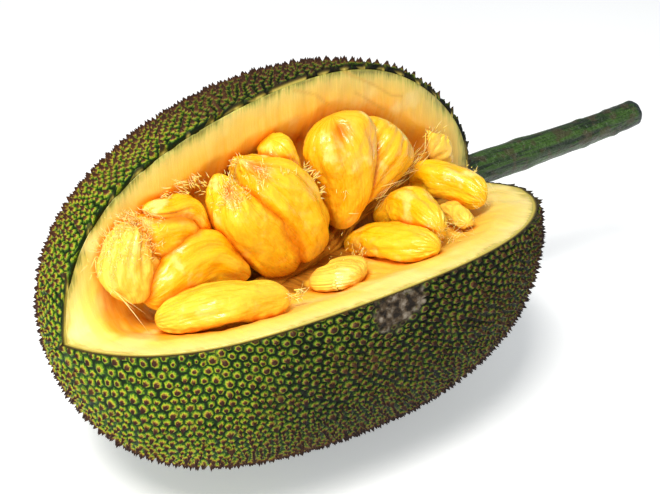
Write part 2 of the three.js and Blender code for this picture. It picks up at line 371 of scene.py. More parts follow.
class Shades:
    """A material's node tree, put together with short calls."""

    def __init__(self, tree: bpy.types.NodeTree) -> None:
        """Keeps the tree that the nodes go into."""
        self.tree = tree

    def feed(self, node: Node, **inputs: Value) -> Node:
        """Sets a node's inputs to numbers and colours, or links them to sockets.

        Args:
            node: The node.
            inputs: Values or output sockets, by name with _ for a space, or by in0, in1 and so on.
        Returns:
            The same node.
        """
        for key, value in inputs.items():
            number = key[2:]
            socket = node.inputs[int(number)] if number.isdigit() else node.inputs[key.replace("_", " ")]
            if isinstance(value, Socket):
                self.tree.links.new(value, socket)
            elif socket.type == "RGBA":
                socket.default_value = (*value, 1.0)
            else:
                socket.default_value = value
        return node

    def node(self, kind: str, settings: dict | None = None, **inputs: Value) -> Node:
        """A new node.

        Args:
            kind: The node's class name after ShaderNode.
            settings: Values of the node itself.
            inputs: Values of its inputs, as feed takes them.
        Returns:
            The node.
        """
        made = self.tree.nodes.new("ShaderNode" + kind)
        for key, value in (settings or {}).items():
            setattr(made, key, value)
        return self.feed(made, **inputs)

    def attribute(self, name: str, output: str = "Fac") -> Socket:
        """One of the mesh's own attributes."""
        return self.node("Attribute", {"attribute_name": name}).outputs[output]

    def place(self) -> Socket:
        """Object coordinates, in metres."""
        return self.node("TexCoord").outputs["Object"]

    def noise(self, vector: Socket, scale: Value, detail: float = 3.0) -> Socket:
        """Soft noise from 0 to 1."""
        return self.node("TexNoise", Vector=vector, Scale=scale, Detail=detail).outputs["Fac"]

    def maths(self, what: str, a: Value, b: Value, clamp: bool = False) -> Socket:
        """A sum, product or other step on two numbers."""
        return self.node("Math", {"operation": what, "use_clamp": clamp}, in0=a, in1=b).outputs[0]

    def plus(self, *values: Value) -> Socket:
        """The sum of two or more numbers."""
        total = values[0]
        for value in values[1:]:
            total = self.maths("ADD", total, value)
        return total

    def times(self, a: Value, b: Value) -> Socket:
        """The product of two numbers."""
        return self.maths("MULTIPLY", a, b)

    def swing(self, value: Socket, size: float) -> Socket:
        """A number from 0 to 1 made to swing about zero, over a whole size."""
        return self.times(self.maths("SUBTRACT", value, 0.5), size)

    def between(self, value: Socket, low: float, high: float, start: float = 0.0, end: float = 1.0) -> Socket:
        """A number carried smoothly from the range low to high into the range start to end."""
        inputs = {"in0": value, "in1": low, "in2": high, "in3": start, "in4": end}
        return self.node("MapRange", {"interpolation_type": "SMOOTHSTEP"}, **inputs).outputs[0]

    def ramp(self, value: Socket, stops: list[tuple[float, Colour]]) -> Socket:
        """A colour that runs through stops."""
        made = self.node("ValToRGB", in0=value)
        band = made.color_ramp
        while len(band.elements) < len(stops):
            band.elements.new(0.5)
        for element, (at, colour) in zip(band.elements, stops):
            element.position = at
            element.color = (*colour, 1.0)
        return made.outputs["Color"]

    def mix(self, share: Value, under: Tone, over: Tone) -> Socket:
        """Two tones, mixed by the share of the second one."""
        return self.node("Mix", {"data_type": "RGBA"}, in0=share, in6=under, in7=over).outputs[2]

    def laid(self, tone: Tone, *layers: tuple[Value, Tone]) -> Tone:
        """A tone with others laid over it in turn, each by its own share."""
        for share, over in layers:
            tone = self.mix(share, tone, over)
        return tone

    def bump(self, height: Socket, strength: float, distance: float) -> Socket:
        """A normal raised by a height, over a distance in metres."""
        return self.node("Bump", Height=height, Strength=strength, Distance=distance).outputs["Normal"]


def strand_group() -> bpy.types.NodeTree:
    """Fibres that run along the third axis of a vector, as one shared node group.

    A broad and a fine noise are stretched along the fibres and added. Its outputs are the fibre
    mask, for colour, and a height, for relief.
    """
    found = bpy.data.node_groups.get("strands")
    if found:
        return found
    group = bpy.data.node_groups.new("strands", "ShaderNodeTree")
    for side, kind, names in (
        ("INPUT", "Vector", ("Grain",)),
        ("INPUT", "Float", ("Broad", "Fine", "Stretch")),
        ("OUTPUT", "Float", ("Mask", "Height")),
    ):
        for name in names:
            group.interface.new_socket(name, in_out=side, socket_type="NodeSocket" + kind)
    shades = Shades(group)
    given = group.nodes.new("NodeGroupInput").outputs
    squeeze = shades.node("CombineXYZ", X=1.0, Y=1.0, Z=given["Stretch"]).outputs[0]
    along = shades.node("VectorMath", {"operation": "MULTIPLY"}, in0=given["Grain"], in1=squeeze).outputs[0]
    broad = shades.times(shades.noise(along, given["Broad"], 2.0), 0.55)
    both = shades.plus(broad, shades.times(shades.noise(along, given["Fine"], 4.0), 0.45))
    shades.feed(group.nodes.new("NodeGroupOutput"), Mask=shades.between(both, 0.38, 0.62), Height=both)
    return group


@dataclass(frozen=True)
class Finish:
    """What every finish shares: a name, gloss and how deep light goes into it."""

    name: str
    roughness: float = 0.5
    gloss: float = 0.5
    coat: float = 0.0
    coat_roughness: float = 0.15
    glow: float = 0.0
    glow_depth: float = 0.004
    glow_tint: Colour = (1.0, 0.45, 0.1)

    def start(self) -> tuple[Material, Shades, Node]:
        """A new material, its node tree and its main shader, with the constants set."""
        material = bpy.data.materials.new(self.name)
        material.use_nodes = True
        shades = Shades(material.node_tree)
        shader = shades.feed(
            material.node_tree.nodes["Principled BSDF"],
            Roughness=self.roughness,
            Specular_IOR_Level=self.gloss,
            Coat_Weight=self.coat,
            Coat_Roughness=self.coat_roughness,
            Subsurface_Weight=self.glow,
            Subsurface_Scale=self.glow_depth,
            Subsurface_Radius=self.glow_tint,
        )
        return material, shades, shader

    def strands(self, shades: Shades, broad: float, fine: float, stretch: float) -> tuple[Socket, Socket]:
        """The mask and the height of the shared fibre group, on the mesh's own grain attribute."""
        grain = shades.attribute("grain", "Vector")
        settings = {"node_tree": strand_group()}
        made = shades.node("Group", settings, Grain=grain, Broad=broad, Fine=fine, Stretch=stretch)
        return made.outputs["Mask"], made.outputs["Height"]


@dataclass(frozen=True)
class RindFinish(Finish):
    """Spiny rind: dark green valleys, yellow-green slopes and brown tips, duller towards the stem. The
    near-black valleys and the duller, darker tone towards the stem are partly painted shade.
    """

    def build(self) -> Material:
        """The material, coloured by the height on each spine and by large soft patches."""
        material, shades, shader = self.start()
        lift, cell, place = shades.attribute("lift"), shades.attribute("cell"), shades.place()
        x, _, z = shades.node("SeparateXYZ", Vector=place).outputs
        grain = shades.noise(place, 900.0)
        uneven = shades.plus(lift, shades.swing(grain, 0.45))
        height = shades.maths("ADD", uneven, shades.swing(cell, 0.30), clamp=True)
        # The lowest stops of both ramps are near-black valleys: partly the rind's own dark green, partly
        # painted shade between the spines.
        fresh = shades.ramp(height, [
            (0.04, (0.003, 0.014, 0.001)), (0.14, (0.020, 0.074, 0.003)), (0.24, (0.140, 0.270, 0.008)),
            (0.34, (0.440, 0.440, 0.026)), (0.44, (0.220, 0.085, 0.018)), (0.56, (0.030, 0.010, 0.006)),
        ])
        dull_and_shaded = shades.ramp(height, [
            (0.05, (0.001, 0.002, 0.001)), (0.16, (0.004, 0.014, 0.001)), (0.25, (0.036, 0.090, 0.004)),
            (0.33, (0.150, 0.180, 0.014)), (0.42, (0.120, 0.045, 0.018)), (0.56, (0.014, 0.006, 0.005)),
        ])
        scar = shades.ramp(shades.noise(place, 190.0, 6.0), [
            (0.42, (0.012, 0.008, 0.005)), (0.52, (0.060, 0.040, 0.022)), (0.70, (0.260, 0.220, 0.170)),
        ])
        inner = shades.ramp(shades.between(shades.attribute("inward"), -1.0, 2.8), [
            (0.10, (0.030, 0.022, 0.008)), (0.40, (0.120, 0.095, 0.018)), (0.80, (0.520, 0.430, 0.090)),
        ])
        # The dull ramp takes over from the free end towards the stem: partly the rind's own duller tone,
        # partly painted shade on the side away from the light.
        stemward_dull_and_shade = shades.between(shades.plus(x, shades.swing(shades.noise(place, 14.0), 0.22)), -0.17, -0.02)
        clusters = shades.between(shades.noise(place, 38.0, 2.0), 0.54, 0.68, 0.0, 0.55)
        upper = shades.between(z, 0.08, 0.17, 0.0, 0.4)
        tips = shades.times(shades.plus(clusters, upper), lift)
        brown = shades.maths("MAXIMUM", shades.between(cell, 0.66, 0.95, 0.0, 0.6), tips)
        tone = shades.laid(
            fresh,
            (stemward_dull_and_shade, dull_and_shaded),
            (brown, (0.085, 0.034, 0.012)),
            (shades.attribute("scar"), scar),
            (shades.attribute("sliced"), inner),
        )
        rough = shades.between(grain, 0.3, 0.7, 0.42, 0.68)
        shades.feed(shader, Base_Color=tone, Roughness=rough, Normal=shades.bump(grain, 0.35, 0.0008))
        return material


@dataclass(frozen=True)
class FleshFinish(Finish):
    """Cut flesh: green under the skin, cream in the band and orange in the room of the bulbs. The upper face
    is darker and more orange, partly as painted shade, and painted shade lies where pieces meet.
    """

    def build(self) -> Material:
        """The material, coloured by the depth below the skin and by fibres that run outwards."""
        material, shades, shader = self.start()
        mask, height = self.strands(shades, 0.30, 0.9, 0.10)
        place = shades.place()
        drift = shades.swing(shades.noise(place, 45.0), 12.0)
        depth = shades.plus(shades.attribute("depth"), shades.swing(mask, 2.4), drift)
        inwards = shades.maths("DIVIDE", depth, 45.0, clamp=True)
        # The upper face's ramp is darker and more orange than the lower's: partly the flesh's own tone,
        # partly painted shade on the upright face.
        upper = shades.ramp(inwards, [
            (0.06, (0.200, 0.200, 0.030)), (0.11, (0.480, 0.430, 0.085)), (0.18, (0.700, 0.520, 0.110)),
            (0.34, (0.830, 0.510, 0.065)), (0.54, (0.900, 0.420, 0.022)), (0.72, (0.930, 0.350, 0.006)),
        ])
        lower = shades.ramp(inwards, [
            (0.06, (0.560, 0.460, 0.100)), (0.10, (0.820, 0.660, 0.190)), (0.16, (0.930, 0.760, 0.240)),
            (0.36, (0.950, 0.700, 0.130)), (0.62, (0.950, 0.620, 0.080)), (0.88, (0.930, 0.520, 0.035)),
        ])
        x = shades.node("SeparateXYZ", Vector=place).outputs[0]
        free_end = shades.between(x, -0.135, -0.085, 0.8, 0.0)
        orange = shades.times(free_end, shades.between(inwards, 0.36, 0.60))
        torn_core = shades.mix(mask, (0.190, 0.045, 0.002), (0.460, 0.170, 0.010))
        tone = shades.laid(
            upper,
            (shades.attribute("lower"), lower),
            (orange, (0.930, 0.360, 0.004)),
            (shades.times(mask, 0.20), (0.95, 0.74, 0.24)),
            (shades.between(shades.noise(place, 28.0), 0.55, 0.70, 0.0, 0.45), (0.96, 0.78, 0.32)),
            (shades.attribute("scored"), (0.62, 0.34, 0.05)),
            # Painted shade where the flesh meets the bulbs and the core.
            (shades.attribute("near"), (0.820, 0.280, 0.004)),
            (shades.times(shades.attribute("seam"), 0.9), torn_core),
        )
        moist = shades.plus(height, shades.times(shades.noise(place, 1500.0, 2.0), 0.4))
        shades.feed(shader, Base_Color=tone, Normal=shades.bump(moist, 0.45, 0.0006))
        return material


@dataclass(frozen=True)
class BulbFinish(Finish):
    """Moist bulb flesh: golden, deeper orange at the root and paler where it frays, with painted shade in its
    dimples and where it meets other pieces.
    """

    def build(self) -> Material:
        """The material, coloured along the bulb and by fine lengthwise fibres."""
        material, shades, shader = self.start()
        mask, height = self.strands(shades, 0.16, 0.75, 0.14)
        along, place = shades.attribute("along"), shades.place()
        smears = shades.between(shades.noise(place, 55.0, 5.0), 0.56, 0.66, 0.0, 0.65)
        root_to_crown = [(0.0, (0.97, 0.44, 0.002)), (0.42, (1.0, 0.53, 0.003)), (0.95, (0.99, 0.54, 0.010))]
        tone = shades.laid(
            shades.ramp(along, root_to_crown),
            (shades.attribute("warm"), (0.93, 0.34, 0.001)),
            (shades.attribute("pale"), (1.0, 0.74, 0.20)),
            (shades.times(mask, 0.30), (1.0, 0.72, 0.05)),
            (shades.between(mask, 0.0, 0.30, 0.30, 0.0), (0.90, 0.33, 0.001)),
            (shades.times(smears, shades.between(along, 0.35, 0.9, 0.25, 1.0)), (1.0, 0.80, 0.27)),
            # Painted shade in the dimples, deeper where they are deeper.
            (shades.attribute("hollow"), (0.72, 0.20, 0.002)),
            # Painted shade where the bulb meets the flesh, the core and other bulbs.
            (shades.attribute("near"), (0.80, 0.235, 0.001)),
        )
        rough = shades.between(mask, 0.0, 1.0, 0.26, 0.48)
        creased = shades.plus(height, shades.times(shades.noise(place, 240.0, 4.0), 0.6))
        shades.feed(shader, Base_Color=tone, Roughness=rough, Normal=shades.bump(creased, 0.6, 0.0014))
        return material


@dataclass(frozen=True)
class FibreFinish(Finish):
    """Loose fibres, cream at the tip and deeper yellow at the root."""

    root_tone: Colour = (1.0, 0.66, 0.06)
    tip_tone: Colour = (1.0, 0.86, 0.40)

    def build(self) -> Material:
        """The material, coloured along each fibre."""
        material, shades, shader = self.start()
        tone = shades.ramp(shades.attribute("along"), [(0.0, self.root_tone), (0.6, self.tip_tone)])
        uneven = shades.times(shades.noise(shades.place(), 160.0), 0.5)
        shades.feed(shader, Base_Color=shades.mix(uneven, tone, self.root_tone))
        return material


@dataclass(frozen=True)
class StrandyFinish(Finish):
    """A fibrous piece in two tones: the core's tan and brown, or the stem's green and grey."""

    dark: Colour = (0.1, 0.05, 0.02)
    light: Colour = (0.4, 0.2, 0.1)
    patch: Colour = (0.3, 0.2, 0.1)
    end: Colour = (0.1, 0.1, 0.1)
    relief: float = 0.001

    def build(self) -> Material:
        """The material: lengthwise fibres, larger patches, a tone of its own at the cut end and painted shade
        where it meets other pieces.
        """
        material, shades, shader = self.start()
        mask, height = self.strands(shades, 0.22, 0.9, 0.12)
        place = shades.place()
        tone = shades.laid(
            self.dark,
            (mask, self.light),
            (shades.between(shades.noise(place, 110.0, 5.0), 0.50, 0.60, 0.0, 0.7), self.patch),
            (shades.attribute("end"), self.end),
            # Painted shade where the core meets the flesh and the bulbs.
            (shades.attribute("near"), (0.52, 0.230, 0.016)),
        )
        knobbly = shades.plus(height, shades.noise(place, 260.0, 5.0))
        shades.feed(shader, Base_Color=tone, Normal=shades.bump(knobbly, 0.9, self.relief))
        return material


# The fruit's own pieces


def dress(piece: Object, material: Material, slot: str, *nodes: str) -> None:
    """Gives a piece its material and body, hides the solids that it stands for and logs its triangles."""
    piece.data.materials.clear()
    piece.data.materials.append(material)
    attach(piece, BODY)
    if nodes:
        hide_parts(*nodes)
    LOG.info("%s: %d triangles", piece.name, len(triangles_of(piece.data)))


@dataclass
class Rind:
    """The spiny rind: one six-sided cell to each spine, on a shell that the wedge opens."""

    spines: int = 9300
    shake: float = 3.9
    settling: int = 2
    height: float = 4.45
    height_range: tuple[float, float] = (0.74, 0.42)
    thickness: float = 2.8
    shoulder: tuple[float, float] = (0.46, 0.36)
    lean: float = 1.32
    cut_gap: float = 0.25
    scar: Point = (-26.0, -115.0, 24.0)
    scar_size: float = 20.0
    finish: RindFinish = RindFinish("rind", gloss=0.14)

    def seeds(self) -> Array:
        """Spine places: golden-angle turns, even by area, each shaken a little."""
        random = np.random.default_rng(7)
        steps = 800
        middle = -1 + (2 * np.arange(steps) + 1) / steps
        strip = np.hypot(FRUIT.half_length * np.sqrt(1 - middle**2), FRUIT.radius * middle)
        area = np.concatenate([[0.0], np.cumsum(strip)])
        number = np.arange(self.spines)
        s = np.interp((number + 0.5) / self.spines * area[-1], area, np.linspace(-1, 1, steps + 1))
        angle = number * math.pi * (3 - math.sqrt(5))
        r = FRUIT.radius * np.sqrt(1 - s * s)
        points = np.stack([FRUIT.half_length * s, r * np.cos(angle), r * np.sin(angle)], -1)
        return FRUIT.onto_ellipsoid(points + self.shake * (random.random(points.shape) - 0.5))

    def settled(self) -> tuple[Array, Array]:
        """The seeds, each moved to the middle of its neighbours a few times, and their net."""
        points, faces = self.joined(self.seeds())
        for _ in range(self.settling):
            total = np.zeros_like(points)
            for k in range(3):
                np.add.at(total, faces[:, k], points[faces[:, (k + 1) % 3]])
            points, faces = self.joined(FRUIT.onto_ellipsoid(total))
        return points, faces

    def joined(self, points: Array) -> tuple[Array, Array]:
        """The seeds that the net joins, without the few that it leaves out, and the net."""
        used, faces = np.unique(self.net(points), return_inverse=True)
        return points[used], faces.reshape(-1, 3)

    def net(self, points: Array) -> Array:
        """The triangles that join neighbouring seeds, the convex hull of the seeds."""
        mesh = bpy.data.meshes.new("net")
        mesh.vertices.add(len(points))
        mesh.vertices.foreach_set("co", points.astype(np.float32).ravel())
        net = bmesh.new()
        net.from_mesh(mesh)
        bmesh.ops.convex_hull(net, input=net.verts)
        bmesh.ops.triangulate(net, faces=net.faces)
        net.to_mesh(mesh)
        net.free()
        faces = triangles_of(mesh)
        bpy.data.meshes.remove(mesh)
        a, b, c = (points[faces[:, k]] for k in range(3))
        inward = np.einsum("ij,ij->i", a + b + c, np.cross(b - a, c - a)) < 0
        faces[inward] = faces[inward][:, ::-1]
        return faces

    def spiny_body(self) -> Object:
        """The closed spiny body.

        Around each seed the cell's corners are the middles of the net's triangles. A shoulder ring
        lies a share of the way from the seed to the corners, at a share of the spine's height that
        varies a little, and the apex over the seed leans by a random step.
        """
        random = np.random.default_rng(11)
        seeds, faces = self.settled()
        corners = FRUIT.onto_ellipsoid(seeds[faces].sum(axis=1))
        low, more = self.height_range
        tall = self.height * (low + more * random.random(len(seeds))) * self.flatter(seeds)
        lean = self.lean * (random.random(seeds.shape) - 0.5)
        apex = FRUIT.over(FRUIT.onto_ellipsoid(seeds + lean), tall)
        out, up = self.shoulder
        ring = seeds[faces] * (1 - out) + corners[:, None] * out + lean[faces] * (1 - out) ** 2
        rough = 1 + 0.16 * (random.random(faces.shape) - 0.5)
        ring = FRUIT.over(FRUIT.onto_ellipsoid(ring), up * tall[faces] * rough).reshape(-1, 3)
        triangles = self.sectors(faces, len(apex), len(apex) + len(ring))
        return mesh_object("rind", np.concatenate([apex, ring, FRUIT.over(corners)]), triangles)

    @staticmethod
    def sectors(faces: Array, first_shoulder: int, first_corner: int) -> Array:
        """Triangles of all sectors, each a slice of one cell between two neighbouring corners.

        Args:
            faces: The net's triangles, by seed.
            first_shoulder: Number of the first shoulder point. They follow the net's corners.
            first_corner: Number of the first corner. They follow the net's triangles.
        Returns:
            Point numbers, M by 3: per sector one triangle to the apex and two to the corners.
        """
        tail = faces.ravel()
        head = np.roll(faces, -1, axis=1).ravel()
        owner = np.repeat(np.arange(len(faces)), 3)
        key = tail.astype(np.int64) * len(tail) + head
        order = np.argsort(key)
        twin = order[np.searchsorted(key[order], head.astype(np.int64) * len(tail) + tail)]
        here = first_shoulder + np.arange(len(tail))
        there = first_shoulder + 3 * owner[twin] + (twin % 3 + 1) % 3
        corner, next_corner = first_corner + owner, first_corner + owner[twin]
        parts = ((tail, there, here), (there, next_corner, corner), (there, corner, here))
        return np.concatenate([np.stack(part, 1) for part in parts])

    def flatter(self, p: Array) -> Array:
        """Share of the full height: a flat-topped bell lower over the scar, and less at both ends."""
        worn = np.linalg.norm(p - np.array(self.scar), axis=-1) / self.scar_size
        ends = smoothstep(0.90, 1.0, np.abs(p[..., 0]) / FRUIT.half_length)
        return (1 - 0.75 * np.exp(-(worn**4))) * (1 - 0.25 * ends)

    def inner_body(self) -> Object:
        """The smooth body inside the rind."""
        rings, sides = 120, 160
        s = -np.cos(np.pi * (np.arange(rings) + 0.5) / rings)
        angle = 2 * np.pi * np.arange(sides) / sides
        return lofted("inner", FRUIT.surface(*np.meshgrid(s, angle, indexing="ij"), -self.thickness))

    def ground(self) -> Object:
        """Everything below the flat spot that the fruit rests on."""
        size = 400.0
        x, y = np.array([-1, 1, 1, -1]) * size / 2, np.array([-1, -1, 1, 1]) * size / 2
        levels = (-REST_DROP, -REST_DROP - size)
        return lofted("ground", np.stack([np.stack([x, y, np.full(4, z)], -1) for z in levels]))

    def build(self, stem: "Stem") -> Object:
        """The cut rind, with the height on each spine, the cell, the scar and the slice marked."""
        rind = self.spiny_body()
        cutters = [self.inner_body(), CUT.cutter("cutter", FRUIT, self.cut_gap), self.ground(), stem.hole()]
        cut_by(rind, cutters)
        points = fruit_points(rind.data)
        depth = FRUIT.depth(points)
        lift = -depth / (self.height * self.flatter(points))
        set_number(rind.data, "lift", np.clip(lift, 0, 1))
        set_number(rind.data, "cell", 0.5 + 0.5 * lattice_noise(points / 4.0, 3))
        worn = np.linalg.norm(points - np.array(self.scar), axis=-1) / self.scar_size
        ragged = worn + 0.35 * layered_noise(points / 9.0, 5)
        set_number(rind.data, "scar", 1 - smoothstep(0.55, 0.95, ragged))
        set_number(rind.data, "inward", depth)
        set_number(rind.data, "sliced", self.mark_slices(rind.data, points))
        dress(rind, self.finish.build(), "skin", "skin")
        return rind

    def mark_slices(self, mesh: Mesh, points: Array) -> Array:
        """Makes the faces on the cut planes flat, and returns a mask of their points."""
        triangles = triangles_of(mesh)
        s = points[:, 0] / FRUIT.half_length
        y, z = CUT.line(s)
        mask = np.zeros(len(points))
        flat = np.zeros(len(triangles), bool)
        for angle in CUT.directions(s):
            forward, up = points[:, 1] - y - self.cut_gap, points[:, 2] - z + self.cut_gap
            off = up * np.cos(angle) - forward * np.sin(angle)
            near = np.abs(off) < 0.06
            flat |= near[triangles].all(axis=1)
            mask[near] = 1.0
        mesh.polygons.foreach_set("use_smooth", ~flat)
        return mask


@dataclass
class Flesh:
    """The flesh with its two cut faces and the room that the bulbs sit in."""

    depth: float = 2.6
    band: float = 27.0
    step: float = 15.0
    room: float = 9.0
    corner: tuple[float, float] = (7.0, 26.0)
    stations: int = 240
    across: int = 84
    around: int = 60
    knife_marks: tuple[tuple[tuple[float, float], tuple[float, float]], ...] = (
        ((1, 110), (18, 103)), ((18, 103), (30, 93)), ((42, 112), (70, 96)), ((70, 96), (86, 85)),
        ((86, 85), (96, 82)), ((52, 96), (79, 77)),
    )
    finish: FleshFinish = FleshFinish("flesh", roughness=0.45, gloss=0.35, glow=0.2, glow_depth=0.004)

    def rim(self, form: FruitForm, s: Array, line: Array, angle: Array) -> Array:
        """Distance from the line to the surface along a face, by halving the interval."""
        low, high = np.zeros_like(s), np.full_like(s, 2 * form.radius)
        for _ in range(40):
            middle = (low + high) / 2
            y = line[:, 0] + middle * np.cos(angle)
            z = line[:, 1] + middle * np.sin(angle)
            outside = np.hypot(y, z) > form.radius_at(s, np.arctan2(z, y))
            high = np.where(outside, middle, high)
            low = np.where(outside, low, middle)
        return low

    @staticmethod
    def meeting_line(form: FruitForm, s: Array) -> Array:
        """The y and z of the line where the faces meet, kept inside the narrow ends."""
        line = np.stack(CUT.line(s), -1)
        off_axis = np.linalg.norm(line, axis=-1)
        widest = 0.7 * form.radius_at(s, np.arctan2(line[:, 1], line[:, 0]))
        return line * np.minimum(1, widest / off_axis)[:, None]

    def outside(self, form: FruitForm, s: Array, start: Array, end: Array) -> Array:
        """The skin side of each section, from the upper rim's angle round the back to the lower's."""
        turn = np.linspace(0, 1, self.around + 2)[1:-1]
        angle = start[:, None] + (end - 2 * np.pi - start)[:, None] * turn
        r = form.radius_at(s[:, None], angle)
        return np.stack([r * np.cos(angle), r * np.sin(angle)], -1)

    def sections(self) -> tuple[Array, Array, Array]:
        """The closed outline of each cross-section, and what lies on its faces.

        An outline runs out along the upper face, round the outside and back along the lower face.

        Returns:
            The points, station by station; the signed face of each point, 1 for the upper, -1 for
            the lower and 0 for the outside; and the distance from the meeting line.
        """
        form = FRUIT.shrunk(self.depth)
        u = np.linspace(-0.9985, 0.9985, self.stations)
        s = 0.45 * u + 0.55 * np.sin(u * np.pi / 2)
        line = self.meeting_line(form, s)
        share = np.linspace(0, 1, self.across)
        faces, fars = [], []
        for angle, steps in zip(CUT.directions(s), (share, share[::-1])):
            fars.append(steps * self.rim(form, s, line, angle)[:, None])
            way = np.stack([np.cos(angle), np.sin(angle)], -1)
            faces.append(line[:, None] + fars[-1][..., None] * way[:, None])
        rims = (faces[0][:, -1], faces[1][:, 0])
        outside = self.outside(form, s, *(np.arctan2(rim[:, 1], rim[:, 0]) for rim in rims))
        small, large = self.corner
        reach = small + (large - small) * smoothstep(0.45, 0.85, -s)
        reach = np.minimum(reach, 0.6 * np.minimum(fars[0][:, -1], fars[1][:, 0]))
        first, last = self.rounded(line, faces, fars, reach)
        yz = np.concatenate([first, outside, last[:, :-1]], axis=1)
        x = np.broadcast_to(form.half_length * s[:, None], yz.shape[:2])
        x = x - form.dent(np.hypot(yz[..., 0], yz[..., 1])) * smoothstep(0.75, 0.98, s)[:, None]
        side = np.concatenate([np.ones(self.across), np.zeros(self.around), -np.ones(self.across - 1)])
        far = np.concatenate([fars[0], np.zeros(outside.shape[:2]), fars[1][:, :-1]], axis=1)
        return np.concatenate([x[..., None], yz], -1), np.broadcast_to(side, far.shape), far

    @staticmethod
    def rounded(line: Array, faces: list[Array], fars: list[Array], reach: Array) -> list[Array]:
        """The two faces with their corner rounded over a reach from the meeting line.

        Points nearer than the reach move onto the parabola that leaves one face at the reach and
        joins the other there. The far points of both faces stay where they are.

        Args:
            line: The meeting line, station by station.
            faces: The upper face's points, outwards, and the lower face's, inwards.
            fars: Their distances from the line.
            reach: How far the rounding reaches at each station.
        Returns:
            The points of both faces.
        """
        ends = []
        for points, far in zip(faces, fars):
            way = (points - line[:, None]) / np.maximum(far, 1e-9)[..., None]
            ends.append(line + reach[:, None] * way[:, way.shape[1] // 2])
        moved = []
        for points, far, sign in zip(faces, fars, (-1, 1)):
            t = (0.5 + sign * far / (2 * reach[:, None]))[..., None]
            curve = (1 - t) ** 2 * ends[0][:, None] + t**2 * ends[1][:, None]
            curve = curve + 2 * t * (1 - t) * line[:, None]
            moved.append(np.where((far < reach[:, None])[..., None], curve, points))
        return moved

    def scored(self, points: Array) -> Array:
        """Share of a knife mark at points: a bell curve of the distance from the nearest one."""
        nearest = np.full(points.shape[:-1], 1e3)
        for start, end in self.knife_marks:
            a, b = np.array(start), np.array(end)
            place = points[..., [0, 2]] - a
            along = np.clip(place @ (b - a) / ((b - a) @ (b - a)), 0, 1)
            off = place - along[..., None] * (b - a)
            nearest = np.minimum(nearest, np.linalg.norm(off, axis=-1))
        return 0.6 * np.exp(-((nearest / 0.9) ** 2))

    def seam(self, points: Array, far: Array) -> Array:
        """Share of the brown torn core that shows on the faces, near their meeting line.

        Its reach is 12 mm, and 34 mm more between the bulbs of the middle, with a tongue of 20 mm.
        """
        x = points[..., 0]
        middle = smoothstep(-72.0, -58.0, x) * (1 - smoothstep(20.0, 40.0, x))
        reach = 12.0 + 34.0 * middle + 20.0 * np.exp(-(((x + 36.0) / 7.0) ** 2))
        reach = reach + 3.0 * layered_noise(points / 7.0, 37, 2)
        return (1 - smoothstep(reach - 5.0, reach + 2.0, far)) * smoothstep(-95.0, -75.0, x)

    def relief(self, points: Array, side: Array, far: Array, depth: Array) -> Array:
        """How far each point of a face moves: back into the room, and a little in or out.

        The room steps down where the depth passes a wandering edge, and is shallower at the free
        end. On it lie a bell-shaped lip along that edge, fine streaks, soft hills, pits in the
        room and the knife marks. All of them fade out at the skin and at the meeting line.

        Args:
            points: Points of the sections.
            side: 1 on the upper face, -1 on the lower one and 0 outside.
            far: Distance from the meeting line.
            depth: Depth below the skin's surface.
        Returns:
            The move of each point.
        """
        edge = self.band - 4.0 + 2.2 * layered_noise(points / 16.0, 21, 2)
        inside = smoothstep(0, self.step, depth - edge)
        room = self.room * (1 - 0.55 * smoothstep(95.0, 140.0, -points[..., 0]))
        moved = (inside * room)[..., None] * np.array([0.0, 1.0, -1.0])
        lip = 0.3 * np.exp(-(((depth - edge + 1.5) / 2.5) ** 2))
        streaks = np.stack([points[..., 0] / 1.7, far / 15.0, side * 9.0], -1)
        fine = 0.16 * lattice_noise(streaks, 31) + 0.55 * layered_noise(points / 14.0, 33, 2)
        stretched = np.stack([points[..., 0] / 4, far / 12, side], -1)
        pits = 0.7 * inside * layered_noise(stretched, 35, 2)
        away = smoothstep(0, 9.0, far)
        near_skin = smoothstep(self.depth, self.depth + 3.0, depth)
        raised = (0.12 + (lip + fine + pits - 0.4 * self.scored(points)) * near_skin) * away
        upper = np.array([0.0, -1.0, 0.0])
        facing = np.where(side[..., None] > 0, upper, CUT.lower_normal())
        return (moved + raised[..., None] * facing) * np.abs(side)[..., None]

    def build(self) -> Object:
        """The closed flesh body, marked for its finish: depth, lower face, seam, marks and grain."""
        points, side, far = self.sections()
        depth = FRUIT.depth(points)
        points = points + self.relief(points, side, far, depth)
        body = lofted("flesh_cut", points)
        corner = smoothstep(-40.0, -16.0, -far) * smoothstep(85.0, 125.0, -points[..., 0])
        for name, grid in (
            ("depth", depth),
            ("lower", np.where(side < 0, 1.0, corner)),
            ("seam", self.seam(points, far) * np.abs(side)),
            ("scored", self.scored(points) * (side > 0)),
            ("grain", np.stack([points[..., 0], 20.0 * side, far], -1)),
        ):
            mark_grid(body, name, grid)
        dress(body, self.finish.build(), "flesh", "flesh")
        return body


class Face(Enum):
    """The cut face that a bulb lies against."""

    UPPER = "upper"
    LOWER = "lower"


def curve_through(points: tuple[Point, ...] | tuple[float, ...], t: Array) -> Array:
    """A smooth curve through points, or numbers, evenly spaced in t: a Catmull-Rom spline."""
    p = np.array(points, float).reshape(len(points), -1)
    p = np.concatenate([[2 * p[0] - p[1]], p, [2 * p[-1] - p[-2]]])
    place = np.clip(t, 0, 1) * (len(p) - 3)
    i = np.minimum(place.astype(int), len(p) - 4)
    w = (place - i)[..., None]
    a, b, c, d = p[i], p[i + 1], p[i + 2], p[i + 3]
    square, cube = 2 * a - 5 * b + 4 * c - d, 3 * b - a - 3 * c + d
    return 0.5 * (2 * b + (c - a) * w + square * w**2 + cube * w**3)


